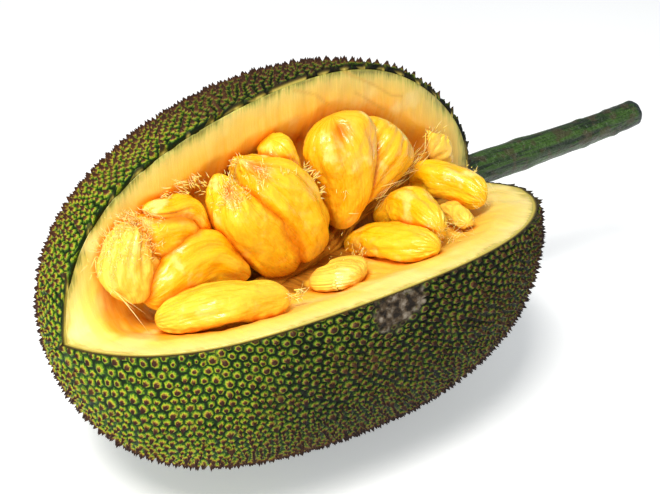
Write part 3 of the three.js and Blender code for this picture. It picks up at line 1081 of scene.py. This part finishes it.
class Sweep:
    """A grid of rings along a smooth path, with the place t and the angle of each grid point."""

    def __init__(self, path: tuple[Point, ...], rings: int, sides: int, facing: Array) -> None:
        """Lays the rings out, closer at the ends.

        Args:
            path: Points that the middle runs through.
            rings: Number of rings.
            sides: Points in each ring.
            facing: The direction that the rings' 90 degrees look towards.
        """
        t = (1 - np.cos(np.pi * (np.arange(rings) + 0.5) / rings)) / 2
        angle = 2 * np.pi * np.arange(sides) / sides
        self.t, self.angle = np.meshgrid(t, angle, indexing="ij")
        self.middle = curve_through(path, t)
        along = unit(np.gradient(self.middle, axis=0))
        self.across = unit(np.cross(facing, along))
        self.front = np.cross(along, self.across)

    def at(self, x: Array, y: Array) -> Array:
        """Points at a distance x across the path and y in front of it, ring by ring."""
        sideways = self.across[:, None] * x[..., None]
        return self.middle[:, None] + sideways + self.front[:, None] * y[..., None]

    def round_at(self, r: Array) -> Array:
        """Points at a distance r from the path."""
        return self.at(r * np.cos(self.angle), r * np.sin(self.angle))

    def circle(self, around: float, along: float) -> Array:
        """The ring angle as a circle of one size and t as a length, to run a pattern on."""
        return np.stack([np.cos(self.angle) * around, np.sin(self.angle) * around, self.t * along], -1)


@dataclass(frozen=True)
class Dimple:
    """A hollow, or with a negative depth a knob, at a place along and an angle round a bulb."""

    along: float
    angle: float
    size: float
    depth: float


@dataclass(frozen=True)
class Bulb:
    """One fleshy bulb, swept along a bent path from its root at the core to its crown by the rind.

    Half-widths are given at even steps of the path. Both ends are blunt: widths are multiplied by
    sqrt(1 - |2t - 1|^blunt). The angle round it is 90 degrees where it looks away from its face.
    Lumps, crumple and fray are heights of broad, fine and crown noise in millimetres. Warm and
    pale are shares of a deeper and a lighter tone.
    """

    name: str
    face: Face
    path: tuple[Point, ...]
    wide: tuple[float, ...]
    deep: float
    blunt: float = 5.0
    square: float = 2.3
    pleats: int = 7
    pleat_depth: float = 0.06
    pleat_start: float = 0.02
    twist: float = 0.6
    lumps: float = 1.7
    crumple: float = 1.0
    fray: float = 1.2
    seed: int = 1
    warm: float = 0.0
    pale: float = 0.0
    dimples: tuple[Dimple, ...] = ()
    rings: int = 116
    sides: int = 92

    def length(self) -> float:
        """Straight length from root to crown."""
        return float(np.linalg.norm(np.subtract(self.path[-1], self.path[0])))

    def surface(self) -> tuple[Array, Array, Array]:
        """The bulb's points, the places t along it and the angles round it.

        The outline round it is a rounded box, |cos|^p + |sin|^p = 1. Pleats are lengthwise folds
        with narrow valleys, |cos|^0.7 of a wandering angle. Lumps and crumples are layered noise,
        stretched lengthwise. The crown is torn by fine noise.
        """
        facing = np.array([0.0, -1.0, 0.0]) if self.face is Face.UPPER else CUT.lower_normal()
        sweep = Sweep(self.path, self.rings, self.sides, facing)
        t, angle = sweep.t, sweep.angle
        cos, sin = np.cos(angle), np.sin(angle)
        box = (np.abs(cos) ** self.square + np.abs(sin) ** self.square) ** (-1 / self.square)
        wander = lattice_noise(sweep.circle(1.3, 2.2), self.seed)
        turn = self.pleats * angle / 2 + self.twist * t * 3 + 1.5 * wander + self.seed
        fold = (np.abs(np.cos(turn)) ** 0.7 - 0.6) * smoothstep(self.pleat_start, self.pleat_start + 0.3, t)
        wide = curve_through(self.wide, t.ravel())[:, 0].reshape(t.shape)
        stretched = np.stack([cos * wide, sin * self.deep, t * self.length() * 0.45], -1)
        swell = self.lumps * layered_noise(stretched / 15.0, self.seed + 20, 2)
        swell += self.crumple * layered_noise(stretched / 5.0, self.seed + 40, 3)
        torn = smoothstep(0.78, 1.0, t) * self.fray
        swell += torn * layered_noise(stretched * np.array([0.9, 0.9, 0.3]), self.seed + 60, 2)
        ends = np.sqrt(np.clip(1 - np.abs(2 * t - 1) ** self.blunt, 0, None))
        share = box * (1 + self.pleat_depth * fold)
        x = ends * (wide * share + swell) * cos
        y = ends * (self.deep * share + swell) * sin
        return sweep.at(x, y), t, angle

    def dented(self, points: Array, t: Array, angle: Array) -> tuple[Array, Array]:
        """Points pushed in at the dimples, each a bell curve, and a mask of the hollows."""
        hollow = np.zeros(points.shape[:-1])
        inward = unit(curve_through(self.path, t.ravel()).reshape(points.shape) - points)
        for dimple in self.dimples:
            off = np.abs(t - dimple.along) + np.abs(np.sin((angle - math.radians(dimple.angle)) / 2))
            centre = points[np.unravel_index(off.argmin(), off.shape)]
            near = np.exp(-((np.linalg.norm(points - centre, axis=-1) / dimple.size) ** 2))
            points = points + inward * (dimple.depth * near)[..., None]
            hollow = np.maximum(hollow, near * np.clip(dimple.depth / 4.0, 0, 1))
        return points, hollow

    def build(self, material: Material) -> Object:
        """The bulb's mesh, with its length, its hollows and the run of its fibres."""
        points, t, angle = self.surface()
        points, hollow = self.dented(points, t, angle)
        made = lofted(self.name + "_flesh", points)
        wide, shift = max(self.wide), np.array([31.0, 17.0, 5.0]) * self.seed
        grain = np.stack([np.cos(angle) * wide, np.sin(angle) * self.deep, t * self.length()], -1)
        for name, grid in (("grain", grain + shift), ("along", t), ("hollow", hollow)):
            mark_grid(made, name, grid)
        for name, share in (("warm", self.warm), ("pale", self.pale)):
            set_number(made.data, name, np.full(len(made.data.vertices), share))
        dress(made, material, "bulb", self.name)
        return made


UPPER, LOWER = Face.UPPER, Face.LOWER
BULBS = (
    Bulb("bulb_left_front", UPPER,
         ((-56, -12, 14), (-71, -14, 26), (-87, -14, 33), (-106, -14, 29), (-127, -15, 21)),
         (5, 12, 17.5, 17.5, 16), 16, pleats=5, pleat_depth=0.07, seed=1, warm=0.35),
    Bulb("bulb_centre_left", UPPER,
         ((-17, -13, 7), (-33, -15, 23), (-48, -16, 41), (-63, -15, 58), (-68, -12, 81)),
         (12.5, 17, 17.5, 13.5, 5), 16.5, pleats=6, pleat_depth=0.08, fray=2.4, seed=2,
         dimples=(Dimple(0.90, 60, 7, 7.0),)),
    Bulb("bulb_centre_right", UPPER,
         ((-2, -11, 9), (-12, -13, 29), (-24, -13, 49), (-38, -12, 67), (-52, -8, 84)),
         (14, 18, 20, 18, 4.5), 19.5, square=2.7, pleats=9, pleat_depth=0.12, fray=1.8, seed=3,
         dimples=(Dimple(0.93, 120, 9, 5.0),)),
    Bulb("bulb_upper_right", UPPER,
         ((29, -2, 29), (42, -3, 39), (55, -2, 48), (67, -2, 57), (79, -1, 68)),
         (9, 14, 20, 24.5, 28), 18.5, pleats=15, pleat_depth=0.12, pleat_start=0.1, seed=4, warm=0.35),
    Bulb("bulb_upper_left", UPPER,
         ((22, -8, 17), (27, -10, 38), (28, -11, 57), (24, -10, 75), (21, -6, 92)),
         (5, 14, 21, 25, 25), 16, pleats=7, pleat_depth=0.08, pleat_start=0.15, seed=5, warm=0.45,
         dimples=(Dimple(0.88, 80, 7, 6.0), Dimple(0.93, 130, 8, -3.0))),
    Bulb("bulb_small_back", UPPER,
         ((-1, -1, 53), (-8, -2, 61), (-14, -2, 70), (-19, -2, 79), (-23, -1, 87)),
         (5, 6, 7.5, 9.5, 13), 12, pleats=5, pleat_depth=0.06, seed=6, warm=0.2),
    Bulb("bulb_left_back", UPPER,
         ((-77, -4, 38), (-89, -5, 45), (-100, -6, 52), (-116, -6, 55), (-131, -5, 59)),
         (4.5, 9.5, 15, 12.5, 9), 12, pleats=5, pleat_depth=0.08, fray=2.0, seed=7, warm=0.2),
    Bulb("bulb_frayed", UPPER,
         ((-129, -10, 21), (-130, -10, 32), (-131, -9, 43), (-129, -7, 54), (-124, -4, 65)),
         (11, 15, 17.5, 14, 10), 13, pleats=9, pleat_depth=0.12, crumple=1.4, fray=2.6, seed=8, pale=0.35),
    Bulb("bulb_front_long", LOWER,
         ((-63, -68, 23), (-82, -59, 24.5), (-98, -51, 25), (-113, -42, 21.5), (-130, -31, 15.5)),
         (4.5, 11, 16, 15, 12), 11, pleats=7, pleat_depth=0.06, fray=2.0, seed=9, pale=0.15),
    Bulb("bulb_right_front", LOWER,
         ((29, -12, 1), (31, -30, 12), (32, -47, 19), (33, -64, 23), (40, -84, 26)),
         (5, 11.5, 16, 14.5, 10), 10, pleats=6, pleat_depth=0.07, fray=2.0, seed=10, warm=0.15),
    Bulb("bulb_right_rear", LOWER,
         ((54, -14, 10), (63, -25, 20.5), (63, -37, 27), (58, -52, 28), (53, -72, 28)),
         (8.5, 13, 15, 12, 11), 15, pleats=6, pleat_depth=0.07, fray=2.0, seed=11, warm=0.2),
    Bulb("bulb_stem_side", LOWER,
         ((96, -1, 24), (103, -11, 28), (107, -23, 28.5), (110, -36, 28), (112, -55, 25.5)),
         (7, 12.5, 14, 9, 7), 12, pleats=5, pleat_depth=0.07, fray=2.2, seed=12),
    Bulb("bulb_rim_small", LOWER,
         ((97, -33, 14), (95, -40, 17), (92, -49, 19), (89, -57, 20), (84, -66, 22)),
         (6, 7, 7.5, 6.5, 6), 5.5, pleats=5, pleat_depth=0.06, crumple=1.2, fray=2.0, seed=13, pale=0.4),
    Bulb("bulb_fibrous", LOWER,
         ((-25, -44, 10), (-21, -52, 14.5), (-15, -58, 17.5), (-12, -64, 18.5), (-9, -70, 18.5)),
         (13, 18, 21, 18.5, 14.5), 7, pleats=25, pleat_depth=0.10, crumple=0.6, fray=2.6, seed=14, pale=0.4),
    Bulb("flap_left", UPPER,
         ((-74, -4, 42), (-81, -4, 53), (-89, -4, 63), (-102, -5, 67), (-116, -5, 70)),
         (4, 6, 8.5, 5.5, 4), 10, pleats=5, pleat_depth=0.14, lumps=0.5, seed=15, warm=0.2),
    Bulb("flap_notch", UPPER,
         ((115, 0, 36), (120, -1, 39), (124, -2, 41.5), (127.5, -1, 44), (131, 0, 46)),
         (7, 14.5, 16, 10, 4), 4, pleats=9, pleat_depth=0.20, lumps=0.5, fray=2.0, seed=16, pale=0.3),
)


@dataclass(frozen=True)
class Tuft:
    """Loose fibres that start in a patch round a point and stand out in one direction.

    The patch in millimetres, and the splay and curl as shares of the length, are standard
    deviations.
    """

    at: Point
    towards: Point
    count: int
    length: float
    patch: float
    splay: float = 0.36
    curl: float = 0.25
    thick: float = 0.5


TUFTS = (
    Tuft((-69, -20, 78), (-0.14, 0.25, 0.96), 31, 5, 2.4),
    Tuft((-66, -27, 72), (-0.37, -0.44, 0.81), 72, 4, 4.2, 0.54),
    Tuft((-74, -20, 68), (-0.78, 0.38, 0.5), 31, 4, 3.6),
    Tuft((-52, -8, 83), (-0.53, 0.55, 0.64), 19, 5, 1.8),
    Tuft((-49, -26, 77), (-0.23, -0.27, 0.93), 48, 4, 4.8, 0.54),
    Tuft((-32, -29, 74), (0.07, -0.34, 0.94), 31, 5, 3.6),
    Tuft((-7, -14, 66), (0.51, -0.4, 0.5), 17, 7, 1.8, 0.3, 0.1, 0.6),
    Tuft((-4, -18, 62), (0.58, -0.32, 0.53), 17, 7, 1.8, 0.3, 0.1, 0.6),
    Tuft((-5, -25, 54), (0.55, -0.5, 0.33), 14, 6, 1.8, 0.3, 0.1, 0.6),
    Tuft((-146, -8, 53), (-0.65, -0.34, -0.68), 65, 6.5, 4.8, 0.36, 0.4, 0.35),
    Tuft((-139, -8, 62), (-0.55, 0.44, 0.71), 86, 5, 4.8, 0.42, 0.4, 0.35),
    Tuft((-131, -11, 66), (-0.52, 0.4, 0.75), 108, 5, 5.4, 0.42, 0.4, 0.35),
    Tuft((-122, -8, 66), (-0.76, 0.45, 0.47), 108, 5.8, 4.2, 0.42, 0.4, 0.35),
    Tuft((-119, -14, 63), (-0.48, 0.23, 0.85), 95, 4.3, 4.2, 0.42, 0.4, 0.35),
    Tuft((-142, -17, 52), (-0.41, -0.49, 0.76), 130, 4.3, 6, 0.54, 0.4, 0.35),
    Tuft((-133, -19, 57), (-0.07, -0.56, 0.83), 130, 4.3, 6, 0.54, 0.4, 0.35),
    Tuft((-123, -18, 56), (0.39, -0.6, 0.7), 86, 5, 4.8, 0.42, 0.4, 0.35),
    Tuft((-85, -4, 75), (-0.74, 0.2, 0.47), 29, 7.7, 3, 0.24),
    Tuft((-76, -4, 75), (-0.69, 0.2, 0.53), 29, 7, 3, 0.24),
    Tuft((-98, -4, 73), (-0.92, 0.1, 0.1), 24, 6.3, 2.4, 0.24),
    Tuft((12, -44, 15), (0.08, -0.04, 1), 26, 5, 3.6, 0.3, 0.15, 0.45),
    Tuft((18, -22, 50), (-0.55, -0.66, -0.52), 17, 5, 3),
    Tuft((24, -22, 34), (0.53, -0.53, 0.67), 12, 7, 2.4),
    Tuft((47, -18, 36), (0.75, -0.2, 0.5), 31, 15, 4.8, 0.18, 0.15, 0.3),
    Tuft((68, -14, 42), (0.8, -0.1, 0.5), 31, 17, 4.8, 0.18, 0.15, 0.3),
    Tuft((95, -4, 38), (0.85, 0, 0.52), 31, 17, 4.8, 0.18, 0.15, 0.3),
    Tuft((117, 4, 52), (0.01, -0.3, -0.86), 14, 20, 1.8, 0.15, 0.15),
    Tuft((122, 4, 48), (0.5, -0.2, 0.5), 29, 9, 4.8, 0.48),
    Tuft((52, -71, 30), (0.1, -0.97, -0.21), 53, 6, 4.2, 0.48, 0.25, 0.25),
    Tuft((57, -77, 25), (0.36, -0.52, 0.58), 19, 7, 3.6, 0.36, 0.25, 0.25),
    Tuft((110, -54, 29), (-0.03, -0.82, -0.57), 36, 6, 4.2, 0.42, 0.25, 0.25),
    Tuft((115, -38, 38), (0.44, -0.47, 0.76), 17, 4, 2.4),
    Tuft((75, -68, 22), (-0.1, -0.65, 0.2), 14, 14, 3, 0.3, 0.45, 0.25),
    Tuft((-58, -67, 21), (0.6, -0.71, 0.17), 17, 9, 2.4, 0.36, 0.6, 0.7),
    Tuft((-66, -68, 26), (0.53, -0.84, 0.05), 12, 7, 1.8, 0.36, 0.5),
    Tuft((-147, -12, 38), (0.32, -0.8, -0.5), 5, 42, 1.2, 0.06, 0.05, 0.35),
    Tuft((-17, -60, 23), (0.2, -0.3, 0.9), 48, 4, 8.4, 0.54, 0.3, 0.3),
)


@dataclass
class Fibres:
    """All the loose fibres: thin curved hairs with three sides, drawn out to a point."""

    tufts: tuple[Tuft, ...] = TUFTS
    stations: int = 6
    finish: FibreFinish = FibreFinish("loose fibre", roughness=0.7, gloss=0.08, glow=0.3, glow_depth=0.002)

    def hairs(self, tuft: Tuft, random: np.random.Generator) -> tuple[Array, Array]:
        """The points of one tuft's hairs, hair by station by side, and their places along.

        A hair runs from its start by its direction times t, and by a sideways curl times t^2.
        """
        size = (tuft.count, 3)
        start = np.array(tuft.at) + tuft.patch * random.normal(size=size) * np.array([1.0, 0.35, 1.0])
        direction = unit(unit(np.array(tuft.towards)) + tuft.splay * random.normal(size=size))
        bend = tuft.curl * random.normal(size=size)
        length = tuft.length * (0.2 + 0.7 * random.random(tuft.count))
        t = np.linspace(0, 1, self.stations)[None, :, None]
        path = start[:, None] + length[:, None, None] * (direction[:, None] * t + bend[:, None] * t**2)
        across = unit(np.cross(direction, random.normal(size=size)))
        other = np.cross(direction, across)
        turn = 2 * np.pi * np.arange(3) / 3
        ring = across[:, None] * np.cos(turn)[:, None] + other[:, None] * np.sin(turn)[:, None]
        width = tuft.thick * (0.4 + 0.6 * random.random(tuft.count))[:, None, None] * (1 - 0.85 * t**1.5)
        points = path[:, :, None] + width[..., None] * ring[:, None]
        return points, np.broadcast_to(t, points.shape[:3])

    def build(self) -> Object:
        """One mesh of all the hairs, each closed at both ends."""
        random = np.random.default_rng(23)
        made = [self.hairs(tuft, random) for tuft in self.tufts]
        points = np.concatenate([hairs for hairs, _ in made])
        along = np.concatenate([places for _, places in made])
        count = len(points)
        ends = points[:, [0, -1]].mean(axis=2)
        each = np.concatenate([points.reshape(count, -1, 3), ends], axis=1)
        places = np.concatenate([along.reshape(count, -1), np.tile([0.0, 1.0], (count, 1))], axis=1)
        triangles = loft_triangles(self.stations, 3) + each.shape[1] * np.arange(count)[:, None, None]
        hair = mesh_object("loose_fibres", each.reshape(-1, 3), triangles.reshape(-1, 3))
        set_number(hair.data, "along", places.ravel())
        dress(hair, self.finish.build(), "bulb")
        return hair


def mark_painted_contact_shade(pieces: list[Object], touching: float, reach: float) -> None:
    """Stores on each piece how close its points lie to the other pieces, as the share of painted shade where
    pieces meet.

    Every sixth point of the others stands for them, and points are taken a few thousand at a time.

    Args:
        pieces: The pieces.
        touching: Distance within which a point is marked 1.
        reach: Distance from which it is marked 0.
    """
    places = [fruit_points(piece.data) for piece in pieces]
    batch = 4000
    for number, (piece, points) in enumerate(zip(pieces, places)):
        others = np.concatenate([other[::6] for k, other in enumerate(places) if k != number])
        low, high = points.min(axis=0) - reach, points.max(axis=0) + reach
        others = others[((others > low) & (others < high)).all(axis=1)].astype(np.float32)
        nearest = np.full(len(points), reach**2)
        for first in range(0, len(points), batch):
            part = points[first : first + batch].astype(np.float32)
            square = (part**2).sum(axis=1)[:, None] + (others**2).sum(axis=1) - 2 * part @ others.T
            nearest[first : first + batch] = square.min(axis=1, initial=reach**2)
        set_number(piece.data, "near", 1 - smoothstep(touching, reach, np.sqrt(np.maximum(nearest, 0))))


@dataclass
class Core:
    """The fibrous core, a thin rod that shows between the bulbs of the two faces."""

    path: tuple[Point, ...] = (
        (-66, -28, 3), (-44, -20, 2), (-16, -14, 1), (22, -4, 1),
        (45, 3, 10), (74, 5, 18), (99, 6, 25), (124, 7, 35),
    )
    radius: float = 7.5
    taper: float = 0.35
    finish: StrandyFinish = StrandyFinish(
        "core", roughness=0.75, gloss=0.12, glow=0.1, dark=(0.28, 0.08, 0.003), light=(0.70, 0.30, 0.020),
        patch=(0.62, 0.27, 0.020), end=(0.60, 0.34, 0.10), relief=0.0016,
    )

    def build(self) -> Object:
        """The rod, with torn fibres along it: noise that is fine round it and long along it."""
        sweep = Sweep(self.path, 200, 60, np.array([0.0, -1.0, 0.0]))
        t = sweep.t
        ends = np.sqrt(np.clip(1 - np.abs(2 * t - 1) ** 14, 0, None))
        torn = 1 + 0.17 * layered_noise(sweep.circle(3.2, 16.0), 51, 3)
        rod = lofted("core_fibres", sweep.round_at(self.radius * (1 - self.taper * t) * ends * torn))
        mark_grid(rod, "grain", sweep.circle(7.0, 200.0))
        mark_grid(rod, "end", 0 * t)
        dress(rod, self.finish.build(), "core", "core")
        return rod


@dataclass
class Stem:
    """The long green stem, thickest at the fruit, with leaf scars and a dark cut end."""

    path: tuple[Point, ...] = (
        (150, 23, -1), (166, 19.8, 0.4), (201, 12.8, 4.2),
        (264, 0.2, 10.3), (298, -6.6, 14.5), (328, -12.6, 19),
    )
    leaf_scars: tuple[float, ...] = (0.47, 0.66, 0.83)
    root_radius: float = 13.0
    tip_radius: float = 9.5
    flare: float = 1.5
    gap: float = 0.3
    finish: StrandyFinish = StrandyFinish(
        "stem", roughness=0.34, gloss=0.45, coat=0.1, dark=(0.003, 0.013, 0.002),
        light=(0.036, 0.092, 0.007), patch=(0.050, 0.038, 0.015), end=(0.008, 0.014, 0.018), relief=0.0030,
    )

    def tube(self, name: str, sweep: Sweep, grow: float, rough: float) -> Object:
        """A closed tube along the stem.

        The radius runs evenly from root to tip, with a bell curve of flare at the root, layered
        noise, three narrow bell curves for the leaf scars and an all but square end.

        Args:
            name: Name of the object.
            sweep: The rings.
            grow: How much wider it is all over.
            rough: Height of the noise.
        Returns:
            The object.
        """
        t = sweep.t
        r = self.root_radius + (self.tip_radius - self.root_radius) * t + grow
        r = r + self.flare * np.exp(-((t / 0.2) ** 2)) + rough * layered_noise(sweep.circle(1.6, 9.0), 71, 4)
        knots = sum(np.exp(-(((t - at) / 0.018) ** 2)) for at in self.leaf_scars)
        r = (r + rough * 0.9 * knots) * np.where(t > 0.5, np.sqrt(np.clip(1 - t**240, 0, None)), 1.0)
        return lofted(name, sweep.round_at(r))

    def sweep(self, rings: int, sides: int) -> Sweep:
        """Rings along the stem."""
        return Sweep(self.path, rings, sides, np.array([0.0, 0.0, 1.0]))

    def hole(self) -> Object:
        """The plain round hole that the stem leaves in the rind."""
        return self.tube("stem_hole", self.sweep(24, 48), self.gap, 0.0)

    def build(self) -> Object:
        """The stem, with its run of fibres and its dark end marked."""
        sweep = self.sweep(220, 72)
        stem = self.tube("stem_green", sweep, 0.0, 0.7)
        mark_grid(stem, "grain", sweep.circle(11.0, 190.0))
        mark_grid(stem, "end", smoothstep(0.955, 0.985, sweep.t))
        dress(stem, self.finish.build(), "stem", "stem")
        return stem


# The picture around the fruit


def put(made: Object, at: Vector, looking: Vector) -> None:
    """Links a camera or a light at a place, looking in a direction."""
    made.location = at
    made.rotation_mode = "QUATERNION"
    made.rotation_quaternion = looking.to_track_quat("-Z", "Y")
    bpy.context.scene.collection.objects.link(made)


@dataclass(frozen=True)
class Lamp:
    """A square soft light, placed in metres, that looks at the fruit's middle."""

    name: str
    at: Point
    size: float
    power: float
    tint: Colour

    def build(self) -> None:
        """Puts the light up."""
        data = bpy.data.lights.new(self.name, "AREA")
        data.size, data.energy, data.color = self.size, self.power, self.tint
        middle = Vector((0, 0, REST_DROP * METRES))
        put(bpy.data.objects.new(self.name, data), Vector(self.at), middle - Vector(self.at))


@dataclass
class Studio:
    """A plain pale floor, soft light from the upper left and a camera at the picture's angle."""

    azimuth: float = -40.0
    elevation: float = 28.0
    distance: float = 0.800
    focal_pixels: float = 1256.6
    centre_pixel: tuple[float, float] = (298.9, 256.2)
    sensor: float = 36.0
    floor_size: float = 12.0
    floor_glow: float = 0.30
    surround_light: float = 0.34
    lamps: tuple[Lamp, ...] = (
        Lamp("key", (-0.85, -0.45, 1.80), 0.8, 41.0, (1.0, 0.98, 0.94)),
        Lamp("fill", (-1.5, -1.15, 0.75), 0.35, 13.0, (1.0, 1.0, 0.98)),
    )

    def camera(self) -> None:
        """The camera: its shift puts the fruit's middle at the pixel that it has in the picture."""
        turn, rise = math.radians(self.azimuth), math.radians(self.elevation)
        back = Vector((math.sin(turn) * math.cos(rise), -math.cos(turn) * math.cos(rise), math.sin(rise)))
        width, height = PHOTO_SIZE
        data = bpy.data.cameras.new("camera")
        data.sensor_width = self.sensor
        data.lens = self.focal_pixels * self.sensor / width
        data.shift_x = (width / 2 - self.centre_pixel[0]) / width
        data.shift_y = (self.centre_pixel[1] - height / 2) / width
        data.clip_start, data.clip_end = 0.01, 20.0
        made = bpy.data.objects.new("camera", data)
        centre = Vector((-REST_SHIFT, 0.0, REST_DROP)) * METRES
        put(made, centre + back * self.distance, -back)
        bpy.context.scene.camera = made

    def floor(self) -> None:
        """The floor, a wide plain sheet at the flat spot, a little brighter than its light."""
        half = self.floor_size / 2
        corners = [(-half, -half, 0), (half, -half, 0), (half, half, 0), (-half, half, 0)]
        mesh = bpy.data.meshes.new("floor")
        mesh.from_pydata(corners, [], [(0, 1, 2, 3)])
        material = bpy.data.materials.new("floor")
        material.use_nodes = True
        Shades(material.node_tree).feed(
            material.node_tree.nodes["Principled BSDF"],
            Base_Color=(0.95, 0.95, 0.95),
            Roughness=0.9,
            Specular_IOR_Level=0.1,
            Emission_Color=(0.93, 0.97, 1.0),
            Emission_Strength=self.floor_glow,
        )
        mesh.materials.append(material)
        made = bpy.data.objects.new("floor", mesh)
        bpy.context.scene.collection.objects.link(made)

    def surround(self) -> None:
        """Even, slightly cool light from all sides."""
        world = bpy.data.worlds.new("surround")
        world.use_nodes = True
        tree = world.node_tree
        background = tree.nodes["Background"]
        Shades(tree).feed(background, Color=(0.93, 0.96, 1.0), Strength=self.surround_light)
        bpy.context.scene.world = world

    def build(self) -> None:
        """Sets up the floor, the lights, the surround and the camera."""
        bpy.context.scene.view_settings.view_transform = "Standard"
        self.surround()
        self.floor()
        for lamp in self.lamps:
            lamp.build()
        self.camera()


def main() -> None:
    """Builds the fruit and the studio."""
    logging.basicConfig(level=logging.INFO, format="%(message)s")
    Studio().build()
    stem = Stem()
    Rind().build(stem)
    stem.build()
    inside = [Flesh().build(), Core().build()]
    moist = BulbFinish("bulb", gloss=0.4, coat=0.35, coat_roughness=0.12, glow=0.3, glow_depth=0.005)
    material = moist.build()
    inside.extend(bulb.build(material) for bulb in BULBS)
    # Painted shade where the inside pieces meet.
    mark_painted_contact_shade(inside, 0.8, 4.5)
    Fibres().build()


if __name__ == "__main__":
    main()
